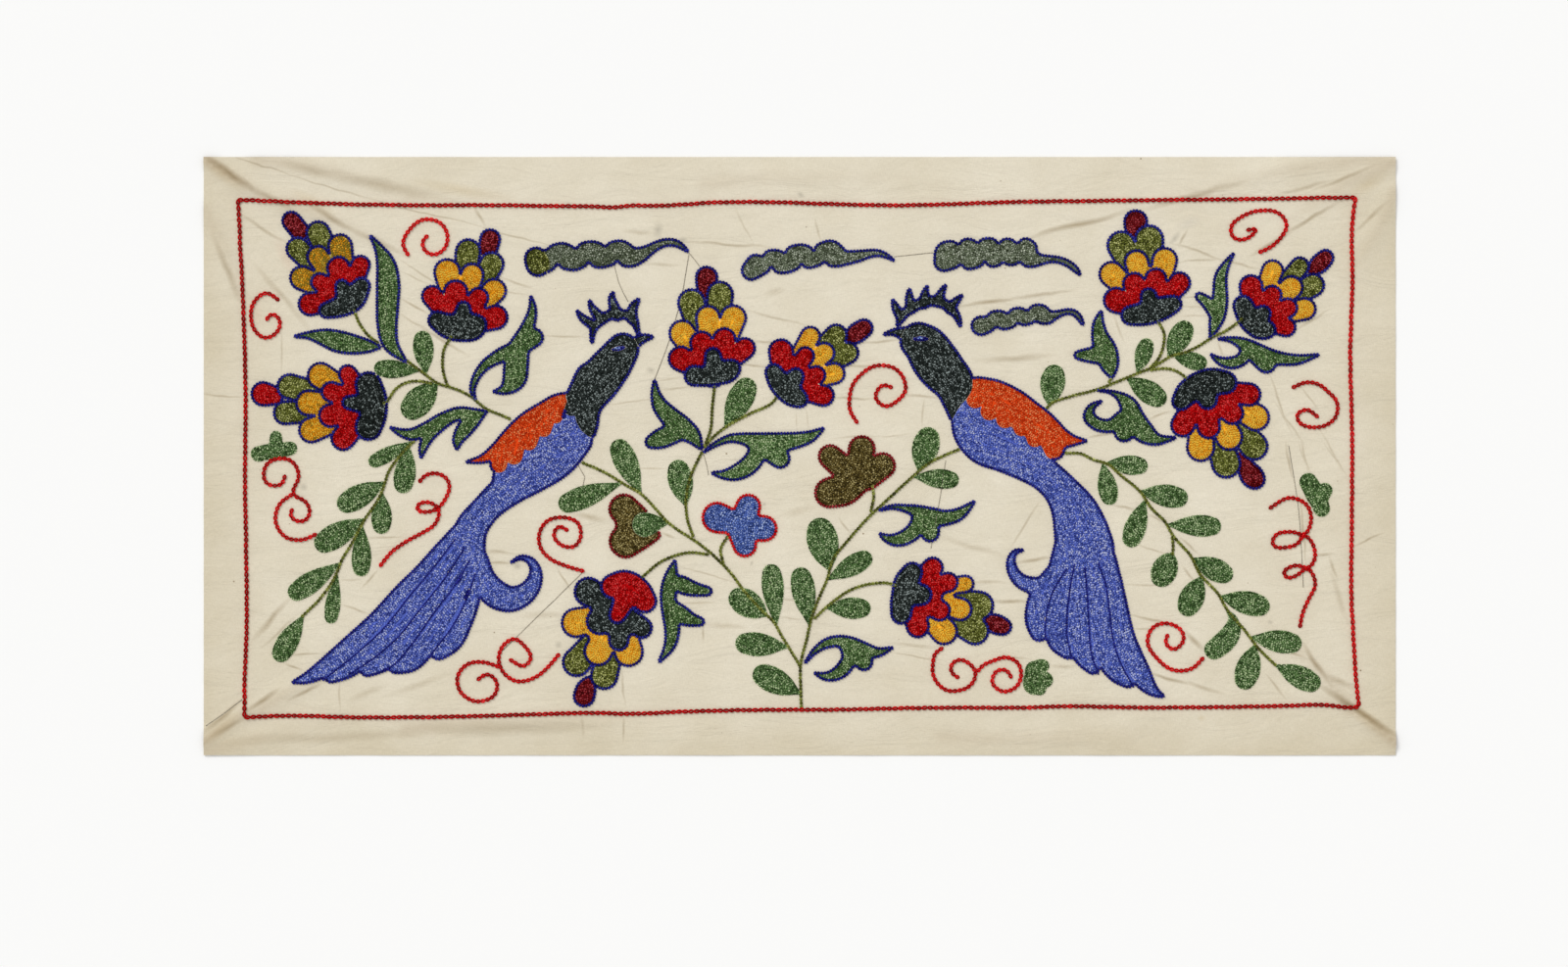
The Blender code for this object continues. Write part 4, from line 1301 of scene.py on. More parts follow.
@dataclass(frozen=True)
class CottonFinish:
    """Unbleached cotton: an uneven cream with slubs, flecks of seed, folds browned by dirt and painted shade,
    creases of painted shade and a plain weave.
    """

    slot: str = "unbleached_cotton"
    cream: Colour = (232, 224, 205)
    aged: Colour = (214, 203, 178)
    # The brown of the folds: dirt and painted fold shade.
    fold_dirt_and_shade: Colour = (160, 133, 98)
    fleck: Colour = (120, 92, 58)
    # The creases are painted shade: the cotton is darkened along them towards this tint.
    crease_shade_tint: tuple[float, float, float, float] = (0.56, 0.5, 0.41, 1)
    crease_bend: float = 0.006
    smudge_strength: float = 0.8
    thin_tint: tuple[float, float, float, float] = (0.915, 0.91, 0.892, 1)
    thick_tint: tuple[float, float, float, float] = (1.062, 1.062, 1.062, 1)
    roughness: float = 0.9
    sheen: float = 0.08
    # How fine each pattern is, in cells or waves to a metre.
    patch_scale: float = 14.0
    seed_scale: float = 95.0
    chance_scale: float = 41.0
    pull_scale: float = 34.0
    yarn_scale: float = 340.0
    slub_scales: tuple[float, float] = (260.0, 1700.0)
    rumple_scales: tuple[float, float] = (14.0, 44.0)
    # How high the weave and the rumples stand, in metres.
    weave_depth: float = 0.0001
    rumple_depth: float = 0.0022

    def material(self) -> bpy.types.Material:
        """Build the cotton's material.

        Returns:
            The material.
        """
        nodes = Nodes(self.slot)
        place = nodes.add("ShaderNodeTexCoord").outputs["Object"]
        age = nodes.add("ShaderNodeAttribute", attribute_name="ageing")
        fold_dirt_and_shade_amount = nodes.add("ShaderNodeAttribute", attribute_name="fold_dirt_and_painted_shade")
        patches = nodes.add("ShaderNodeTexNoise", in_2=self.patch_scale, in_3=5.0, in_4=0.6)
        nodes.link(place, patches.inputs[0])
        drift = nodes.math("MULTIPLY_ADD", patches.outputs[0], 1.3)
        drift.node.inputs[2].default_value = -0.5
        share = nodes.math("ADD", age.outputs["Fac"], drift)
        share = nodes.math("MINIMUM", nodes.math("MAXIMUM", share, 0.0), 1.0)
        base = nodes.mix(share, linear(self.cream), linear(self.aged))
        base = nodes.mix(1.0, base, self.slubs(nodes, place), "MULTIPLY")
        # Darker and browner along the folds: dirt and painted fold shade.
        base = nodes.mix(fold_dirt_and_shade_amount.outputs["Fac"], base, linear(self.fold_dirt_and_shade))
        # Painted shade along the creases.
        crease_shade_colour = nodes.ramp(self.creases(nodes, place), ((0.0, (1, 1, 1, 1)), (1.0, self.crease_shade_tint)))
        base = nodes.mix(1.0, base, crease_shade_colour, "MULTIPLY")
        for x, y, half_length, half_width, turn, tint in SMUDGES:
            (middle,) = on_cloth([(x, y)])
            sizes = (half_length * PIXEL, half_width * PIXEL)
            spot = self.spot(nodes, place, *middle, *sizes, -math.radians(turn))
            stained = nodes.mix(1.0, base, tint.value, "MULTIPLY")
            base = nodes.mix(nodes.math("MULTIPLY", spot, self.smudge_strength), base, stained)
        base = nodes.mix(self.flecks(nodes, place), base, linear(self.fleck))
        nodes.link(base, nodes.shader.inputs["Base Color"])
        nodes.shader.inputs["Roughness"].default_value = self.roughness
        nodes.shader.inputs["Sheen Weight"].default_value = self.sheen
        nodes.shader.inputs["Specular IOR Level"].default_value = 0.2
        nodes.link(self.weave(nodes, place), nodes.shader.inputs["Normal"])
        return nodes.material

    def slubs(self, nodes: Nodes, place: bpy.types.NodeSocket) -> bpy.types.NodeSocket:
        """Make the thick and thin places of the yarn, along and across the cloth.

        Args:
            nodes: The material's nodes.
            place: The point on the cloth.

        Returns:
            A tint of the cotton.
        """
        slubs = None
        for scales in (self.slub_scales, self.slub_scales[::-1]):
            turn = nodes.add("ShaderNodeMapping", in_3=(*scales, 1.0))
            nodes.link(place, turn.inputs[0])
            grain = nodes.add("ShaderNodeTexNoise", in_2=1.0, in_3=2.0, in_4=0.5)
            nodes.link(turn.outputs[0], grain.inputs[0])
            slubs = grain.outputs[0] if slubs is None else nodes.math("ADD", slubs, grain.outputs[0])
        return nodes.ramp(nodes.math("MULTIPLY", slubs, 0.5), ((0.3, self.thin_tint), (0.7, self.thick_tint)))

    def flecks(self, nodes: Nodes, place: bpy.types.NodeSocket) -> bpy.types.NodeSocket:
        """Scatter a few flecks of seed.

        Args:
            nodes: The material's nodes.
            place: The point on the cloth.

        Returns:
            How much of a fleck is at the point.
        """
        seeds = nodes.add("ShaderNodeTexVoronoi", in_2=self.seed_scale)
        nodes.link(place, seeds.inputs[0])
        chance = nodes.add("ShaderNodeTexNoise", in_2=self.chance_scale, in_3=1.0)
        nodes.link(place, chance.inputs[0])
        spot = nodes.ramp(seeds.outputs["Distance"], ((0.05, (1, 1, 1, 1)), (0.09, (0, 0, 0, 1))))
        rare = nodes.ramp(chance.outputs[0], ((0.6, (0, 0, 0, 1)), (0.68, (0.75, 0.75, 0.75, 1))))
        return nodes.mix(1.0, spot, rare, "MULTIPLY")

    def weave(self, nodes: Nodes, place: bpy.types.NodeSocket) -> bpy.types.NodeSocket:
        """Raise the plain weave and the soft rumples of the cloth.

        Args:
            nodes: The material's nodes.
            place: The point on the cloth.

        Returns:
            The direction that the surface faces.
        """
        wave = None
        for axis in ("X", "Y"):
            yarn = nodes.add("ShaderNodeTexWave", in_1=self.yarn_scale, in_2=1.6, in_3=1.0, in_4=90.0)
            yarn.bands_direction = axis
            nodes.link(place, yarn.inputs[0])
            wave = yarn.outputs[1] if wave is None else nodes.math("ADD", wave, yarn.outputs[1])
        rumples = nodes.add("ShaderNodeTexNoise", in_2=1.0, in_3=4.0, in_4=0.62, in_8=1.2)
        turn = nodes.add("ShaderNodeMapping", in_3=(*self.rumple_scales, 1.0))
        nodes.link(place, turn.inputs[0])
        nodes.link(turn.outputs[0], rumples.inputs[0])
        fine = nodes.add("ShaderNodeBump", in_0=0.5, in_1=self.weave_depth)
        nodes.link(wave, fine.inputs["Height"])
        wide = nodes.add("ShaderNodeBump", in_0=0.8, in_1=self.rumple_depth)
        nodes.link(rumples.outputs[0], wide.inputs["Height"])
        nodes.link(fine.outputs[0], wide.inputs["Normal"])
        return wide.outputs[0]

    def spot(
        self, nodes: Nodes, place: bpy.types.NodeSocket, x: float, y: float,
        half_length: float, half_width: float, turn: float,
    ) -> bpy.types.NodeSocket:
        """Work out a long spot that is 1 in its middle and fades to 0 at its rim.

        Args:
            nodes: The material's nodes.
            place: The point on the cloth.
            x: The spot's middle along the cloth, in millimetres.
            y: Its middle up the cloth.
            half_length: Half its length.
            half_width: Half its width.
            turn: Its direction, in radians.

        Returns:
            The spot's value.
        """
        frame_of_spot = nodes.add(
            "ShaderNodeMapping", vector_type="TEXTURE", in_1=(x * MM, y * MM, 0), in_2=(0, 0, turn),
            in_3=(half_length * MM, half_width * MM, 1),
        )
        nodes.link(place, frame_of_spot.inputs[0])
        fade = nodes.add("ShaderNodeTexGradient", gradient_type="SPHERICAL")
        nodes.link(frame_of_spot.outputs[0], fade.inputs[0])
        return fade.outputs["Fac"]

    def creases(self, nodes: Nodes, place: bpy.types.NodeSocket) -> bpy.types.NodeSocket:
        """Add up the painted shade of all the creases, each bent a little by the pull of the stitches.

        Args:
            nodes: The material's nodes.
            place: The point on the cloth.

        Returns:
            How much painted crease shade the point gets.
        """
        pull = nodes.add("ShaderNodeTexNoise", in_2=self.pull_scale, in_3=2.0, in_4=0.5)
        nodes.link(place, pull.inputs[0])
        centred = nodes.add("ShaderNodeVectorMath", operation="SUBTRACT", in_1=(0.5, 0.5, 0.5))
        nodes.link(pull.outputs["Color"], centred.inputs[0])
        bent = nodes.add("ShaderNodeVectorMath", operation="MULTIPLY_ADD", in_1=(self.crease_bend,) * 3)
        nodes.link(centred.outputs[0], bent.inputs[0])
        nodes.link(place, bent.inputs[2])
        total = None
        for x0, y0, x1, y1, half_width, placed_depth in CREASES:
            start, end = on_cloth([(x0, y0), (x1, y1)])
            run_x, run_y = end[0] - start[0], end[1] - start[1]
            spot = self.spot(
                nodes, bent.outputs[0], (start[0] + end[0]) / 2, (start[1] + end[1]) / 2,
                CREASE_STRETCH * math.hypot(run_x, run_y) / 2, CREASE_SPREAD * half_width * PIXEL,
                math.atan2(run_y, run_x),
            )
            depth = nodes.math("MULTIPLY", spot, CREASE_STRENGTH * placed_depth)
            total = depth if total is None else nodes.math("MAXIMUM", total, depth)
        return total


@dataclass
class GroundCloth:
    """The cotton cloth with its folds, laid on the floor."""

    length: float = CLOTH_LENGTH
    width: float = CLOTH_WIDTH
    thickness: float = 0.8
    cell: float = 4.5
    # The cloth is never quite flat: its soft waves have this height, about a middle that keeps them up.
    ripple_height: float = 0.11
    ripple_middle: float = 2.2
    # The sheet is given this much less than its thickness, so that it stays off the floor.
    clearance: float = 0.05
    sharp_angle: float = math.radians(50)
    # How aged the cotton is anywhere, and how much more so at its rim, its foot and its ends.
    aged_anywhere: float = 0.12
    more_at_rim: float = 0.1
    more_at_foot: float = 0.5
    more_at_end: float = 0.5
    # How far in from each of these the ageing fades, in millimetres.
    aged_rim: float = 26.0
    aged_foot: float = 40.0
    aged_end: float = 50.0
    # A crest this high, in metres, is darkened to the full by dirt and painted fold shade.
    darkest_fold_crest: float = 0.0036
    finish: CottonFinish = field(default_factory=CottonFinish)

    def fold_distance(self, x: np.ndarray, y: np.ndarray, fold: Fold) -> tuple[np.ndarray, np.ndarray]:
        """Measure how far points are from a fold's bowed crest.

        Args:
            x: Places along the cloth, in millimetres.
            y: Places up the cloth.
            fold: The fold.

        Returns:
            The distances in metres, and the share of the way along the crest.
        """
        run_x, run_y = fold.x1 - fold.x0, fold.y1 - fold.y0
        run = math.hypot(run_x, run_y)
        from_x, from_y = x * MM - fold.x0, y * MM - fold.y0
        share = (from_x * run_x + from_y * run_y) / run**2
        aside = (run_x * from_y - run_y * from_x) / run
        inside = np.clip(share, 0, 1)
        past = (share - inside) * run
        return np.hypot(aside - fold.bow * 4 * inside * (1 - inside), past), inside

    def height(self, x: np.ndarray, y: np.ndarray) -> np.ndarray:
        """Give the height of the cloth's upper face.

        Args:
            x: Places along the cloth, in millimetres.
            y: Places up the cloth.

        Returns:
            Heights in millimetres.
        """
        lift = np.zeros_like(x)
        for fold in FOLDS:
            distance, share = self.fold_distance(x, y, fold)
            crest = np.where(
                share < 0.5,
                fold.height_start + (fold.height_middle - fold.height_start) * share * 2,
                fold.height_middle + (fold.height_end - fold.height_middle) * (share * 2 - 1),
            )
            reach = FOLD_REACH * fold.half_width
            hump = np.cos(np.pi / 2 * np.minimum(distance / reach, 1)) ** 2
            lift = np.maximum(lift, crest * hump)
        # Three soft waves cross each other.
        ripple = (
            np.sin(x / 7.9 + 1.3 * np.sin(y / 21.0)) * np.sin(y / 5.7 + 1.1 * np.sin(x / 33.0))
            + 0.7 * np.sin(x / 19.0 + y / 9.0 + 2.0)
            + 0.5 * np.sin(y / 4.3 - x / 27.0 + 0.6)
        )
        return self.thickness + lift / MM + self.ripple_height * (self.ripple_middle + ripple)

    def build(self) -> bpy.types.Object:
        """Lay the sheet, lift its folds, give it its thickness and its finish.

        Returns:
            The cloth's object.
        """
        columns, rows = round(self.length / self.cell), round(self.width / self.cell)
        bpy.ops.object.select_all(action="DESELECT")
        bpy.ops.mesh.primitive_grid_add(x_subdivisions=columns, y_subdivisions=rows, size=1.0)
        cloth = bpy.context.object
        cloth.name = cloth.data.name = "embroidered_cotton_cloth"
        mesh = cloth.data
        co = np.empty(len(mesh.vertices) * 3, np.float32)
        mesh.vertices.foreach_get("co", co)
        co = co.reshape(-1, 3).astype(float)
        x, y = co[:, 0] * self.length, co[:, 1] * self.width
        z = self.height(x, y)
        mesh.vertices.foreach_set("co", (np.column_stack([x, y, z]) * MM).astype(np.float32).ravel())
        self.keep_wear_and_fold_shade(mesh, x, y)
        solid = cloth.modifiers.new("thickness", "SOLIDIFY")
        solid.thickness = (self.thickness - self.clearance) * MM
        solid.offset = -1
        bpy.ops.object.modifier_apply(modifier=solid.name)
        bpy.ops.object.shade_smooth_by_angle(angle=self.sharp_angle)
        mesh.materials.clear()
        mesh.materials.append(self.finish.material())
        return cloth

    def keep_wear_and_fold_shade(self, mesh: bpy.types.Mesh, x: np.ndarray, y: np.ndarray) -> None:
        """Keep on each point how aged the cotton is, and how much it is darkened along the folds by dirt and
        painted shade.

        Args:
            mesh: The sheet's mesh.
            x: Its points' places along the cloth.
            y: Their places up the cloth.
        """
        from_end = self.length / 2 - abs(x)
        from_rim = np.minimum(from_end, self.width / 2 - abs(y))
        ageing = self.aged_anywhere + self.more_at_rim * np.exp(-from_rim / self.aged_rim)
        ageing += self.more_at_foot * np.exp(-(y + self.width / 2) / self.aged_foot)
        ageing += self.more_at_end * np.exp(-from_end / self.aged_end)
        # Darker along the fold crests, most on the higher folds: dirt and painted fold shade.
        fold_dirt_and_shade_amount = np.zeros_like(x)
        for fold in FOLDS:
            distance, share = self.fold_distance(x, y, fold)
            crest = max(fold.height_start, fold.height_middle) / self.darkest_fold_crest
            fade = np.exp(-((distance / (0.75 * fold.half_width)) ** 2))
            fold_dirt_and_shade_amount = np.maximum(fold_dirt_and_shade_amount, 0.5 * crest * (1 - 0.8 * share) * fade)
        for name, values in (("ageing", ageing), ("fold_dirt_and_painted_shade", fold_dirt_and_shade_amount)):
            kept = mesh.attributes.new(name, "FLOAT", "POINT")
            kept.data.foreach_set("value", np.clip(values, 0, 1).astype(np.float32))


FILL_STRAND = (StrandCut(-0.12, 0.08, 0.15, 0), StrandCut(0.5, 0.5, 0.9, 1), StrandCut(1.22, 0.05, 0.45, 0))
LOOSE_STRAND = (
    StrandCut(-0.02, 0.5, 0.8, 0), StrandCut(0.05, 0.5, 1, 1),
    StrandCut(0.95, 0.5, 1, 1), StrandCut(1.02, 0.5, 0.8, 0),
)
FINE_STRAND = (
    StrandCut(-0.04, 0.1, 0.1, 0), StrandCut(0.3, 0.5, 0.8, 1),
    StrandCut(0.78, 0.42, 0.95, 0.9), StrandCut(1.16, 0.05, 0.5, 0),
)
FULL_STRAND = (
    StrandCut(-0.06, 0.06, 0.1, 0), StrandCut(0.1, 0.28, 0.45, 0.8), StrandCut(0.35, 0.52, 0.8, 1),
    StrandCut(0.65, 0.52, 0.95, 1), StrandCut(0.95, 0.24, 1.0, 0.95), StrandCut(1.2, 0.02, 0.6, 0),
)


class LinkKind(Enum):
    """Chain links by use: cuts, sides, width, height and half girth in millimetres, spread of shade."""

    FILL = (FILL_STRAND, 3, 0.84, 0.9, 0.5, 0.28)
    EDGE = (FINE_STRAND, 3, 1.36, 1.25, 0.8, 0.1)
    SEAM = (FINE_STRAND, 3, 0.8, 1.15, 0.48, 0.1)
    STEM = (FULL_STRAND, 4, 1.4, 1.2, 0.68, 0.1)
    CURL = (FULL_STRAND, 4, 1.9, 1.3, 0.82, 0.08)
    BORDER = (FULL_STRAND, 4, 2.0, 1.4, 0.84, 0.08)
    CARRIED = (LOOSE_STRAND, 3, 0.3, 0.3, 0.19, 0.1)


class LineWork(NamedTuple):
    """Lines that are sewn with one silk and one kind of link, in one shade or in a shade for each."""

    group: Group
    thread: Thread
    kind: LinkKind
    lines: Sequence[Points]
    link_length: float
    drift: float
    tones: Sequence[float]


LINE_WORK = (
    LineWork(Group.STEMS, Thread.OLIVE, LinkKind.STEM, STEMS, 3.0, 0.12, (0.27,)),
    LineWork(Group.CURLS, Thread.RED, LinkKind.CURL, CURLS, 4.1, 0.12, (0.3,)),
    # The silk of the border is darker along the top, the foot and the left than along the right.
    LineWork(Group.BORDER, Thread.RED, LinkKind.BORDER, BORDER, 4.9, 0.25, (0.12, 0.31, 0.13, 0.1)),
    LineWork(Group.CARRIED, Thread.COTTON, LinkKind.CARRIED, CARRIED, 9.0, 0.1, (0.5,)),
)


@dataclass
class Bundle:
    """All the stitches of one silk in one part of the embroidery."""

    starts: dict[LinkKind, list[np.ndarray]] = field(default_factory=dict)
    shades: dict[LinkKind, list[np.ndarray]] = field(default_factory=dict)
    grounds: list[tuple[np.ndarray, np.ndarray, float]] = field(default_factory=list)


class Needlework:
    """The embroidery: rows of chain stitch laid into motifs, round their edges and along lines."""

    ROW_PITCH = 1.6
    LINK_LENGTH = 2.05
    EDGE_LINK = 2.7
    FIRST_ROW_BY_EDGE = 2.15
    FIRST_ROW_BARE = 0.85
    PATH_STEP = 2.0
    LINE_STEP = 1.0
    BLOCK_REACH = 3.0
    SEAM_REACH = 30.0
    ROOM_BARE = 0.6
    ROOM_BY_EDGE = 1.5
    # A seam is finer than an edging, so the rows beside it come this much closer.
    SEAM_CLOSER = 0.8
    JOINED_CLOSER = 0.3
    # The ground runs on this far under what lies over it, and in from the outline by this much.
    GROUND_UNDER = 0.45
    GROUND_INSET = 0.35
    GROUND_EDGE = 1.8
    GROUND_TOP = 0.16
    GROUND_DEPTH = 0.3
    # An edging stops this far off what lies over it, and runs this far into a joined neighbour.
    EDGE_CLEAR = 0.4
    EDGE_JOINED = -0.6
    SHORTEST_EDGE = 2.0
    SHORTEST_ROW = 1.5
    # Rows between the rows fill what those leave bare, this share of a row's pitch further in.
    EXTRA_ROW_SHARE = 0.6
    COVERED_SHARE = 0.55
    # A strand's height is this share of its width.
    FLATTENED = 0.8
    # The sheet of silk under the links is darkened as painted shadow: its shade is this much below theirs.
    PAINTED_SHADOW = 0.3

    def __init__(self, cloth: GroundCloth) -> None:
        """Start with a bare cloth.

        Args:
            cloth: The cloth.
        """
        self.cloth = cloth
        self.random = np.random.default_rng(1908)
        self.bundles: dict[tuple[Group, Thread], Bundle] = {}

    def bundle(self, group: Group, thread: Thread) -> Bundle:
        """Find or start the bundle for one silk in one part."""
        return self.bundles.setdefault((group, thread), Bundle())

    def sew(
        self, group: Group, thread: Thread, kind: LinkKind, line: np.ndarray,
        pitch: float, drift: float = 0.12, tone: float = 0.5,
    ) -> None:
        """Sew a row of chain links along a line.

        Args:
            group: The part of the embroidery.
            thread: The silk.
            kind: The kind of link.
            line: The line to follow.
            pitch: The length of a link.
            drift: How far, in millimetres, the hand strays.
            tone: The silk's shade here, from its darkest at 0 to its lightest at 1.
        """
        nodes = even_nodes(line, pitch)
        nodes[1:-1] += self.random.uniform(-drift, drift, (max(len(nodes) - 2, 0), 2))
        if self.random.random() < 0.5:
            nodes = nodes[::-1]
        links = np.column_stack([nodes[:-1], nodes[1:]])
        spread = kind.value[-1]
        link_shade = self.random.normal(tone + self.random.normal(0, 0.04), 0.7 * spread, (len(links), 1))
        shade = link_shade + self.random.normal(0, spread, (len(links), 2))
        bundle = self.bundle(group, thread)
        bundle.starts.setdefault(kind, []).append(links)
        bundle.shades.setdefault(kind, []).append(np.clip(shade, 0.02, 0.98))

    def work(self, motifs: Sequence[Motif]) -> None:
        """Work every motif, each one hidden where a later one lies over it.

        Args:
            motifs: The motifs, in the order in which they were worked.
        """
        strokes = [[smooth_path(on_cloth(s), self.PATH_STEP) for s in m.strokes] for m in motifs]
        plots = [Plot(s) for s in strokes]
        for k, motif in enumerate(motifs):
            plot = plots[k]
            near = [j for j in range(len(motifs)) if j != k and plot.touches(plots[j])]
            over = [j for j in near if j > k]
            edged_over = [j for j in over if motifs[j].edge and not motifs[j].joined]
            joined_near = [
                j for j in near
                if motifs[j].group is motif.group and (motif.joined or motifs[j].joined) and motifs[j].edge
            ]
            shape = plot.field(strokes[k], self.BLOCK_REACH)
            hidden = plot.field([s for j in over for s in strokes[j]], self.BLOCK_REACH)
            edged = plot.field([s for j in edged_over for s in strokes[j]], self.BLOCK_REACH)
            beside = plot.field([s for j in joined_near for s in strokes[j]], self.BLOCK_REACH)
            room = np.minimum(hidden - self.ROOM_BARE, edged - self.ROOM_BY_EDGE)
            if motif.joined:
                first_row = self.FIRST_ROW_BY_EDGE - self.JOINED_CLOSER
                room = np.minimum(room, -np.minimum(shape, beside) - first_row)
            seams = [np.pad(smooth_path(on_cloth(s), self.PATH_STEP), ((0, 0), (0, 1))) for s in motif.seams]
            inner = shape
            if seams:
                inner = np.maximum(shape, -plot.field(seams, self.SEAM_REACH) - self.SEAM_CLOSER)
            self.lay_ground(motif, plot, np.maximum(shape, -hidden - self.GROUND_UNDER))
            self.fill(motif, plot, inner, room)
            if motif.edge:
                self.edge(motif, plot, shape, hidden, beside)
                for seam in seams:
                    self.sew(motif.group, motif.edge, LinkKind.SEAM, seam[:, :2], self.EDGE_LINK)

    def edge(
        self, motif: Motif, plot: Plot, shape: np.ndarray, hidden: np.ndarray, beside: np.ndarray,
    ) -> None:
        """Sew the edging of a motif, where nothing lies over it and no joined neighbour meets it.

        Args:
            motif: The motif.
            plot: Its net.
            shape: Distances from its outline, negative inside.
            hidden: Distances from what lies over it.
            beside: Distances from the motifs that it is joined to.
        """
        for loop in plot.level_lines(shape, 0.0):
            keep = (plot.read(hidden, loop) > self.EDGE_CLEAR) & (plot.read(beside, loop) > self.EDGE_JOINED)
            for run in kept_runs(loop, keep, self.SHORTEST_EDGE):
                self.sew(motif.group, motif.edge, LinkKind.EDGE, run, self.EDGE_LINK)

    def fill(self, motif: Motif, plot: Plot, inner: np.ndarray, room: np.ndarray) -> None:
        """Fill a motif with rows that follow its edge inwards.

        Args:
            motif: The motif.
            plot: Its net.
            inner: Distances from its edge and seams, negative inside.
            room: How far each point is clear of what lies over or beside it.
        """
        first = self.FIRST_ROW_BY_EDGE if motif.edge and not motif.joined else self.FIRST_ROW_BARE
        deepest = -inner.min()
        if deepest < first + 0.1:
            first = max(0.35, deepest - 0.35)
        levels = np.arange(first, deepest - 0.05, self.ROW_PITCH)
        covered = np.zeros(inner.shape, bool)
        reach = int(self.COVERED_SHARE * self.ROW_PITCH / plot.STEP)
        around = range(-reach, reach + 1)
        offsets = [(a, b) for a in around for b in around if a * a + b * b <= reach * reach + 1]
        for gap, extra in ((0.0, False), (self.EXTRA_ROW_SHARE * self.ROW_PITCH, True)):
            for level in levels + gap:
                for loop in plot.level_lines(inner, -level):
                    i, j = plot.nearest(loop, reach)
                    keep = plot.read(room, loop) > 0
                    if extra:
                        keep &= ~covered[j, i]
                    for run in kept_runs(loop, keep, self.SHORTEST_ROW):
                        silk = (motif.group, motif.thread, LinkKind.FILL)
                        self.sew(*silk, run, self.LINK_LENGTH, tone=motif.tone)
                    for a, b in offsets:
                        covered[j[keep] + a, i[keep] + b] = True

    def lay_ground(self, motif: Motif, plot: Plot, seen: np.ndarray) -> None:
        """Lay a sheet of the silk under the links, darkened as painted shadow, that shows between them.

        Args:
            motif: The motif.
            plot: Its net.
            seen: Distances from what is seen of it, negative inside.
        """
        level = -self.GROUND_INSET
        points: list[tuple[float, float]] = []
        edges: list[tuple[int, int]] = []
        for loop in plot.level_lines(seen, level):
            ring = even_nodes(loop, self.GROUND_EDGE)[:-1]
            if len(ring) < 3:
                continue
            first = len(points)
            points.extend(map(tuple, ring))
            edges.extend((first + k, first + (k + 1) % len(ring)) for k in range(len(ring)))
        if not points:
            return
        skip = 10
        j, i = np.nonzero(seen[::skip, ::skip] < level - 1.4)
        points.extend(zip(plot.x[i * skip], plot.y[j * skip]))
        flat, _, faces, *_ = delaunay_2d_cdt([Vector(p) for p in points], edges, [], 0, 1e-4)
        flat = np.array([tuple(p) for p in flat])
        faces = np.array([f for f in faces if len(f) == 3])
        middle = flat[faces].mean(axis=1)
        faces = faces[plot.read(seen, middle) < level + 0.05]
        # Painted shadow: the sheet is made darker than the links that lie over it.
        shade = max(0.05, motif.tone - self.PAINTED_SHADOW)
        self.bundle(motif.group, motif.thread).grounds.append((flat, faces, shade))

    def strands(self, kind: LinkKind, links: np.ndarray, shades: np.ndarray) -> MeshParts:
        """Shape the two strands of each chain link.

        Args:
            kind: The kind of link.
            links: The start and end of each link.
            shades: The shade of each of its two strands.

        Returns:
            Points, triangles and finish places.
        """
        cuts, sides, wide, high, girth, _ = kind.value
        start, run = links[:, :2], links[:, 2:] - links[:, :2]
        length = np.maximum(np.hypot(run[:, 0], run[:, 1]), 0.3)[:, None]
        along = run / length
        across = np.column_stack([-along[:, 1], along[:, 0]])
        blocks, uvs = [], []
        for hand, side in enumerate((-1.0, 1.0)):
            for index, cut in enumerate(cuts):
                centre = start + along * length * cut.along + across * (side * wide * cut.aside)
                level = self.cloth.height(centre[:, 0], centre[:, 1]) + high * cut.lift
                ends = index in (0, len(cuts) - 1)
                for k in range(1 if ends else sides):
                    angle = math.tau * (k / sides) + math.pi / 2
                    shift = girth * cut.girth * math.cos(angle)
                    rise = self.FLATTENED * girth * cut.girth * math.sin(angle)
                    blocks.append(np.column_stack([centre + across * shift, level + rise]))
                    way = np.full(len(links), index / (len(cuts) - 1))
                    uvs.append(np.column_stack([shades[:, hand], way]))
        each = len(blocks)
        points = np.stack(blocks, axis=1).reshape(-1, 3)
        uv = np.stack(uvs, axis=1).reshape(-1, 2)
        faces = []
        half = each // 2
        for base in (0, half):
            for k in range(sides):
                n = (k + 1) % sides
                faces.append((base, base + 1 + n, base + 1 + k))
                for ring in range(len(cuts) - 3):
                    a = base + 1 + ring * sides
                    faces.append((a + k, a + n, a + sides + n))
                    faces.append((a + k, a + sides + n, a + sides + k))
                a = base + 1 + (len(cuts) - 3) * sides
                faces.append((a + k, a + n, base + half - 1))
        faces = np.array(faces)[None, :, :] + (np.arange(len(links)) * each)[:, None, None]
        return points, faces.reshape(-1, 3), uv

    def ground_mesh(self, flat: np.ndarray, faces: np.ndarray, shade: float) -> MeshParts:
        """Give a ground its thickness.

        Args:
            flat: Its points.
            faces: Its triangles, seen from above.
            shade: The shade of its silk.

        Returns:
            Points, triangles and finish places.
        """
        area = np.cross(flat[faces[:, 1]] - flat[faces[:, 0]], flat[faces[:, 2]] - flat[faces[:, 0]])
        faces = np.where((area < 0)[:, None], faces[:, ::-1], faces)
        used, faces = np.unique(faces, return_inverse=True)
        faces = faces.reshape(-1, 3)
        flat = flat[used]
        level = self.cloth.height(flat[:, 0], flat[:, 1])
        count = len(flat)
        top, foot = level + self.GROUND_TOP, level - self.GROUND_DEPTH
        points = np.vstack([np.column_stack([flat, top]), np.column_stack([flat, foot])])
        sides = np.vstack([faces[:, (0, 1)], faces[:, (1, 2)], faces[:, (2, 0)]])
        known = set(map(tuple, sides.tolist()))
        rim = np.array([(a, b) for a, b in known if (b, a) not in known])
        walls = np.vstack([
            np.column_stack([rim[:, 0], rim[:, 0] + count, rim[:, 1] + count]),
            np.column_stack([rim[:, 0], rim[:, 1] + count, rim[:, 1]]),
        ])
        uv = np.tile((shade, 0.5), (2 * count, 1))
        return points, np.vstack([faces, faces[:, ::-1] + count, walls]), uv

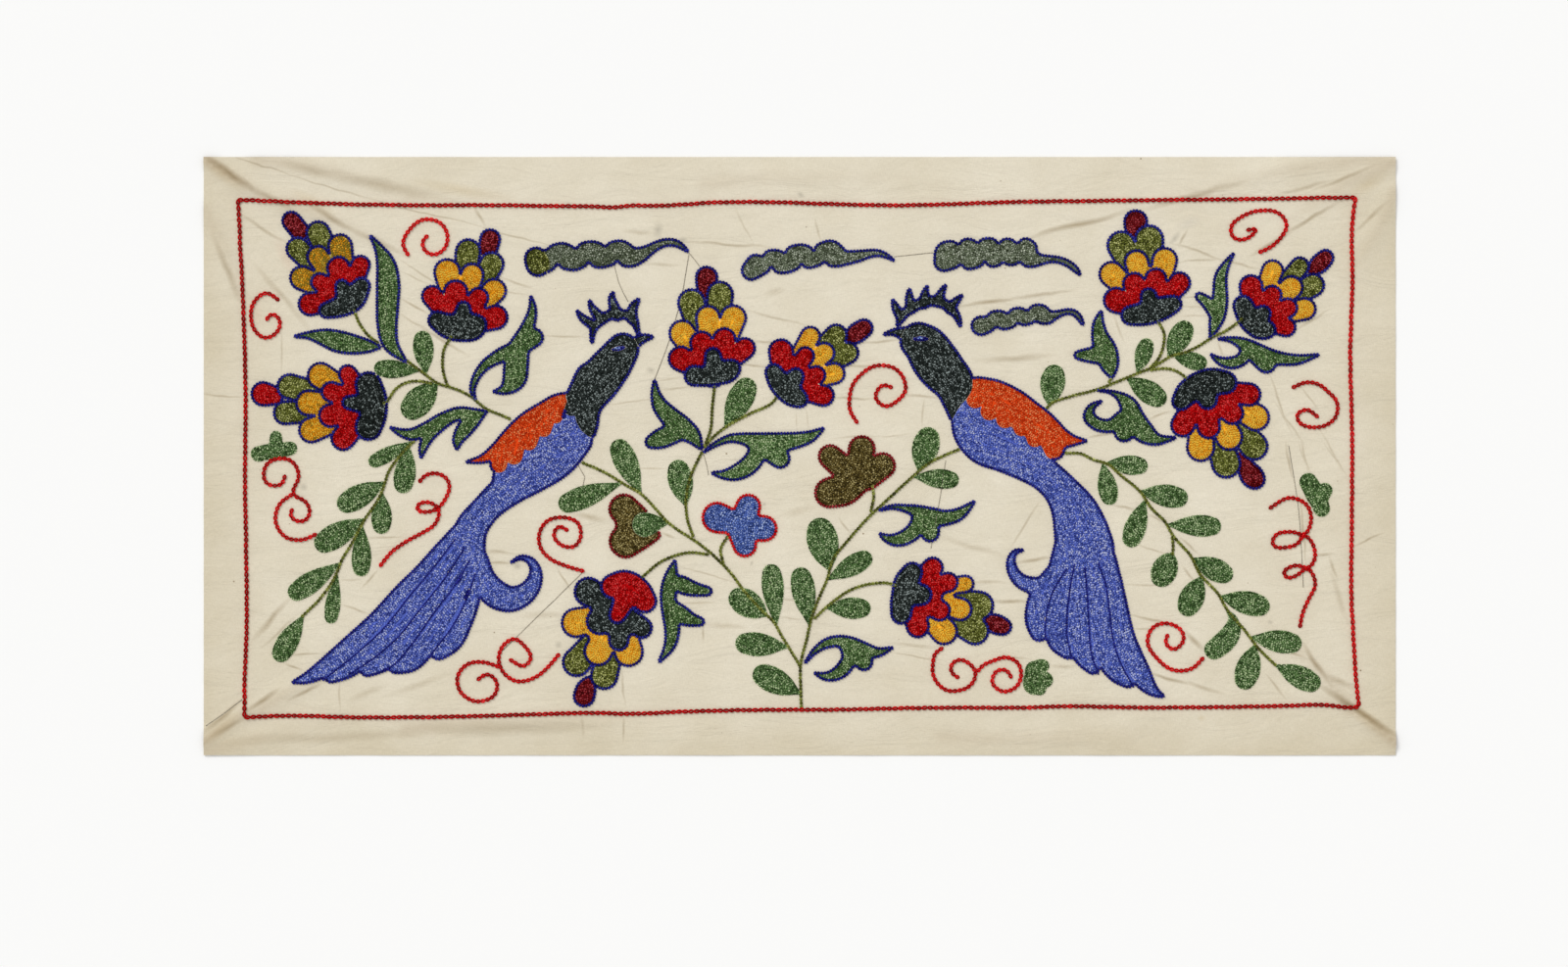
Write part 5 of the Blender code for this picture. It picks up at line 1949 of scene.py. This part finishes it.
    def build(self) -> list[bpy.types.Object]:
        """Make one piece of each bundle.

        Returns:
            The pieces.
        """
        pieces = []
        for (group, thread), bundle in self.bundles.items():
            parts = [self.ground_mesh(*g) for g in bundle.grounds if len(g[1])]
            for kind, links in bundle.starts.items():
                parts.append(self.strands(kind, np.vstack(links), np.vstack(bundle.shades[kind])))
            counts = np.cumsum([0] + [len(p[0]) for p in parts])
            piece = make_object(
                f"{group.value}_{thread.value}",
                np.vstack([p[0] for p in parts]),
                np.vstack([p[1] + c for p, c in zip(parts, counts)]),
                np.vstack([p[2] for p in parts]),
            )
            piece.data.materials.append(SILKS[thread].material())
            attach(piece, ROOT_BODY)
            LOG.info("%s: %d triangles", piece.name, len(piece.data.polygons))
            pieces.append(piece)
        return pieces


# How much of the way to the heart the petals of each row go.
OLIVE_REACH = 0.75
GOLD_REACH = 0.85
PETAL_REACH = 0.95
# A petal narrows towards this share of the heart's width.
HEART_SHARE = 0.7
# The stroke across the feet of a row: how far down each petal it passes, and its share of their width.
FEET_PLACE = 0.3
FEET_WIDTH = 0.75


def flower_motifs(flower: Flower) -> list[Motif]:
    """Turn a flower into its rows of petals, the outermost first.

    Args:
        flower: The flower.

    Returns:
        One motif for each row.
    """
    def petals(spots: Points, share: float) -> list[Points]:
        """Draw each petal from its round end towards the heart, and one stroke across their feet.

        Args:
            spots: The round ends of the petals.
            share: How much of the way to the heart a petal goes.

        Returns:
            A stroke for each petal and one more for their feet.
        """
        heart_x, heart_y, heart_r = flower.heart
        drawn, feet = [], []
        for x, y, r in spots:
            to_x, to_y, narrower = heart_x - x, heart_y - y, HEART_SHARE * heart_r - r
            drawn.append([(x, y, r), (x + to_x * share, y + to_y * share, r + narrower * share)])
            feet.append((x + to_x * FEET_PLACE, y + to_y * FEET_PLACE, FEET_WIDTH * r))
        return drawn + [feet]

    def row(thread: Thread, strokes: Sequence[Points], tone: float = 0.5) -> Motif:
        """Edge a row of petals in navy."""
        return Motif(Group.FLOWERS, thread, Thread.NAVY, strokes, tone=tone)

    return [
        row(flower.tip_thread, [flower.tip]),
        row(Thread.OLIVE, petals(flower.olive, OLIVE_REACH)),
        row(Thread.GOLD, petals(flower.gold, GOLD_REACH), flower.gold_tone),
        row(flower.petal_thread, petals(flower.petals, PETAL_REACH) + [[flower.heart]]),
        row(flower.cup_thread, flower.cup, flower.cup_tone),
    ]


@dataclass
class Studio:
    """A white floor under soft, even light, with the camera straight above."""

    view_width: float = 1600 / PHOTO_LENGTH
    look_x: float = -16 / PHOTO_LENGTH
    look_y: float = -28 / PHOTO_LENGTH
    lens: float = 85.0
    sensor: float = 36.0
    floor_size: float = 8.0
    floor_colour: tuple[float, float, float, float] = (0.96, 0.96, 0.955, 1)
    sky_colour: tuple[float, float, float, float] = (1.0, 0.998, 0.99, 1)
    sky_strength: float = 0.72
    window_strength: float = 1.35
    window_softness: float = math.radians(26)
    window_turn: tuple[float, float, float] = (math.radians(-38), math.radians(-34), 0)

    def build(self) -> None:
        """Make the floor, the lights and the camera."""
        bpy.ops.object.select_all(action="DESELECT")
        bpy.ops.mesh.primitive_plane_add(size=self.floor_size, location=(0, 0, 0))
        floor = bpy.context.object
        floor.name = "floor"
        nodes = Nodes("white_floor")
        nodes.shader.inputs["Base Color"].default_value = self.floor_colour
        nodes.shader.inputs["Roughness"].default_value = 0.9
        nodes.shader.inputs["Specular IOR Level"].default_value = 0.1
        floor.data.materials.append(nodes.material)
        scene = bpy.context.scene
        world = bpy.data.worlds.new("studio")
        world.use_nodes = True
        world.node_tree.nodes["Background"].inputs[0].default_value = self.sky_colour
        world.node_tree.nodes["Background"].inputs[1].default_value = self.sky_strength
        scene.world = world
        scene.view_settings.view_transform = "Standard"
        light = bpy.data.lights.new("window", "SUN")
        light.energy = self.window_strength
        light.angle = self.window_softness
        sun = bpy.data.objects.new("window", light)
        sun.rotation_euler = self.window_turn
        scene.collection.objects.link(sun)
        lens = bpy.data.cameras.new("camera")
        lens.lens, lens.sensor_width = self.lens, self.sensor
        camera = bpy.data.objects.new("camera", lens)
        camera.location = (self.look_x, self.look_y, 0.001 + self.view_width * self.lens / self.sensor)
        scene.collection.objects.link(camera)
        scene.camera = camera


def all_motifs() -> list[Motif]:
    """List every motif in the order in which it is worked: what comes later lies over the rest.

    Returns:
        The motifs.
    """
    motifs = [m for f in FLOWERS for m in flower_motifs(f)]
    motifs += [Motif(Group.SPRAY_LEAVES, Thread.LEAF, None, (spray_leaf(*s),)) for s in SPRAY_LEAVES]
    for number, strokes in enumerate(OUTLINED_LEAVES):
        tone = LEAF_TONES.get(number, LEAF_TONE)
        motifs.append(Motif(Group.OUTLINED_LEAVES, Thread.LEAF, Thread.NAVY, strokes, tone=tone))
    first, *others = CLOUD_BANDS
    cloud = (Group.CLOUD_BANDS, Thread.GREY_GREEN, Thread.NAVY)
    motifs.append(Motif(*cloud, first, joined=True, tone=JOINED_CLOUD_TONE))
    motifs += [Motif(*cloud, strokes) for strokes in others]
    return motifs + list(MOTIFS)


def main() -> None:
    """Build the runner and the studio round it."""
    logging.basicConfig(level=logging.INFO, format="%(message)s")
    Studio().build()
    ground = GroundCloth()
    cloth = ground.build()
    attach(cloth, ROOT_BODY)
    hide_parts("ground_cloth")
    LOG.info("%s: %d faces", cloth.name, len(cloth.data.polygons))
    work = Needlework(ground)
    work.work(all_motifs())
    for row in LINE_WORK:
        for line, tone in zip(row.lines, cycle(row.tones)):
            path = smooth_path(on_cloth(line), Needlework.LINE_STEP)
            work.sew(row.group, row.thread, row.kind, path, row.link_length, row.drift, tone)
    stitches = work.build()


if __name__ == "__main__":
    main()
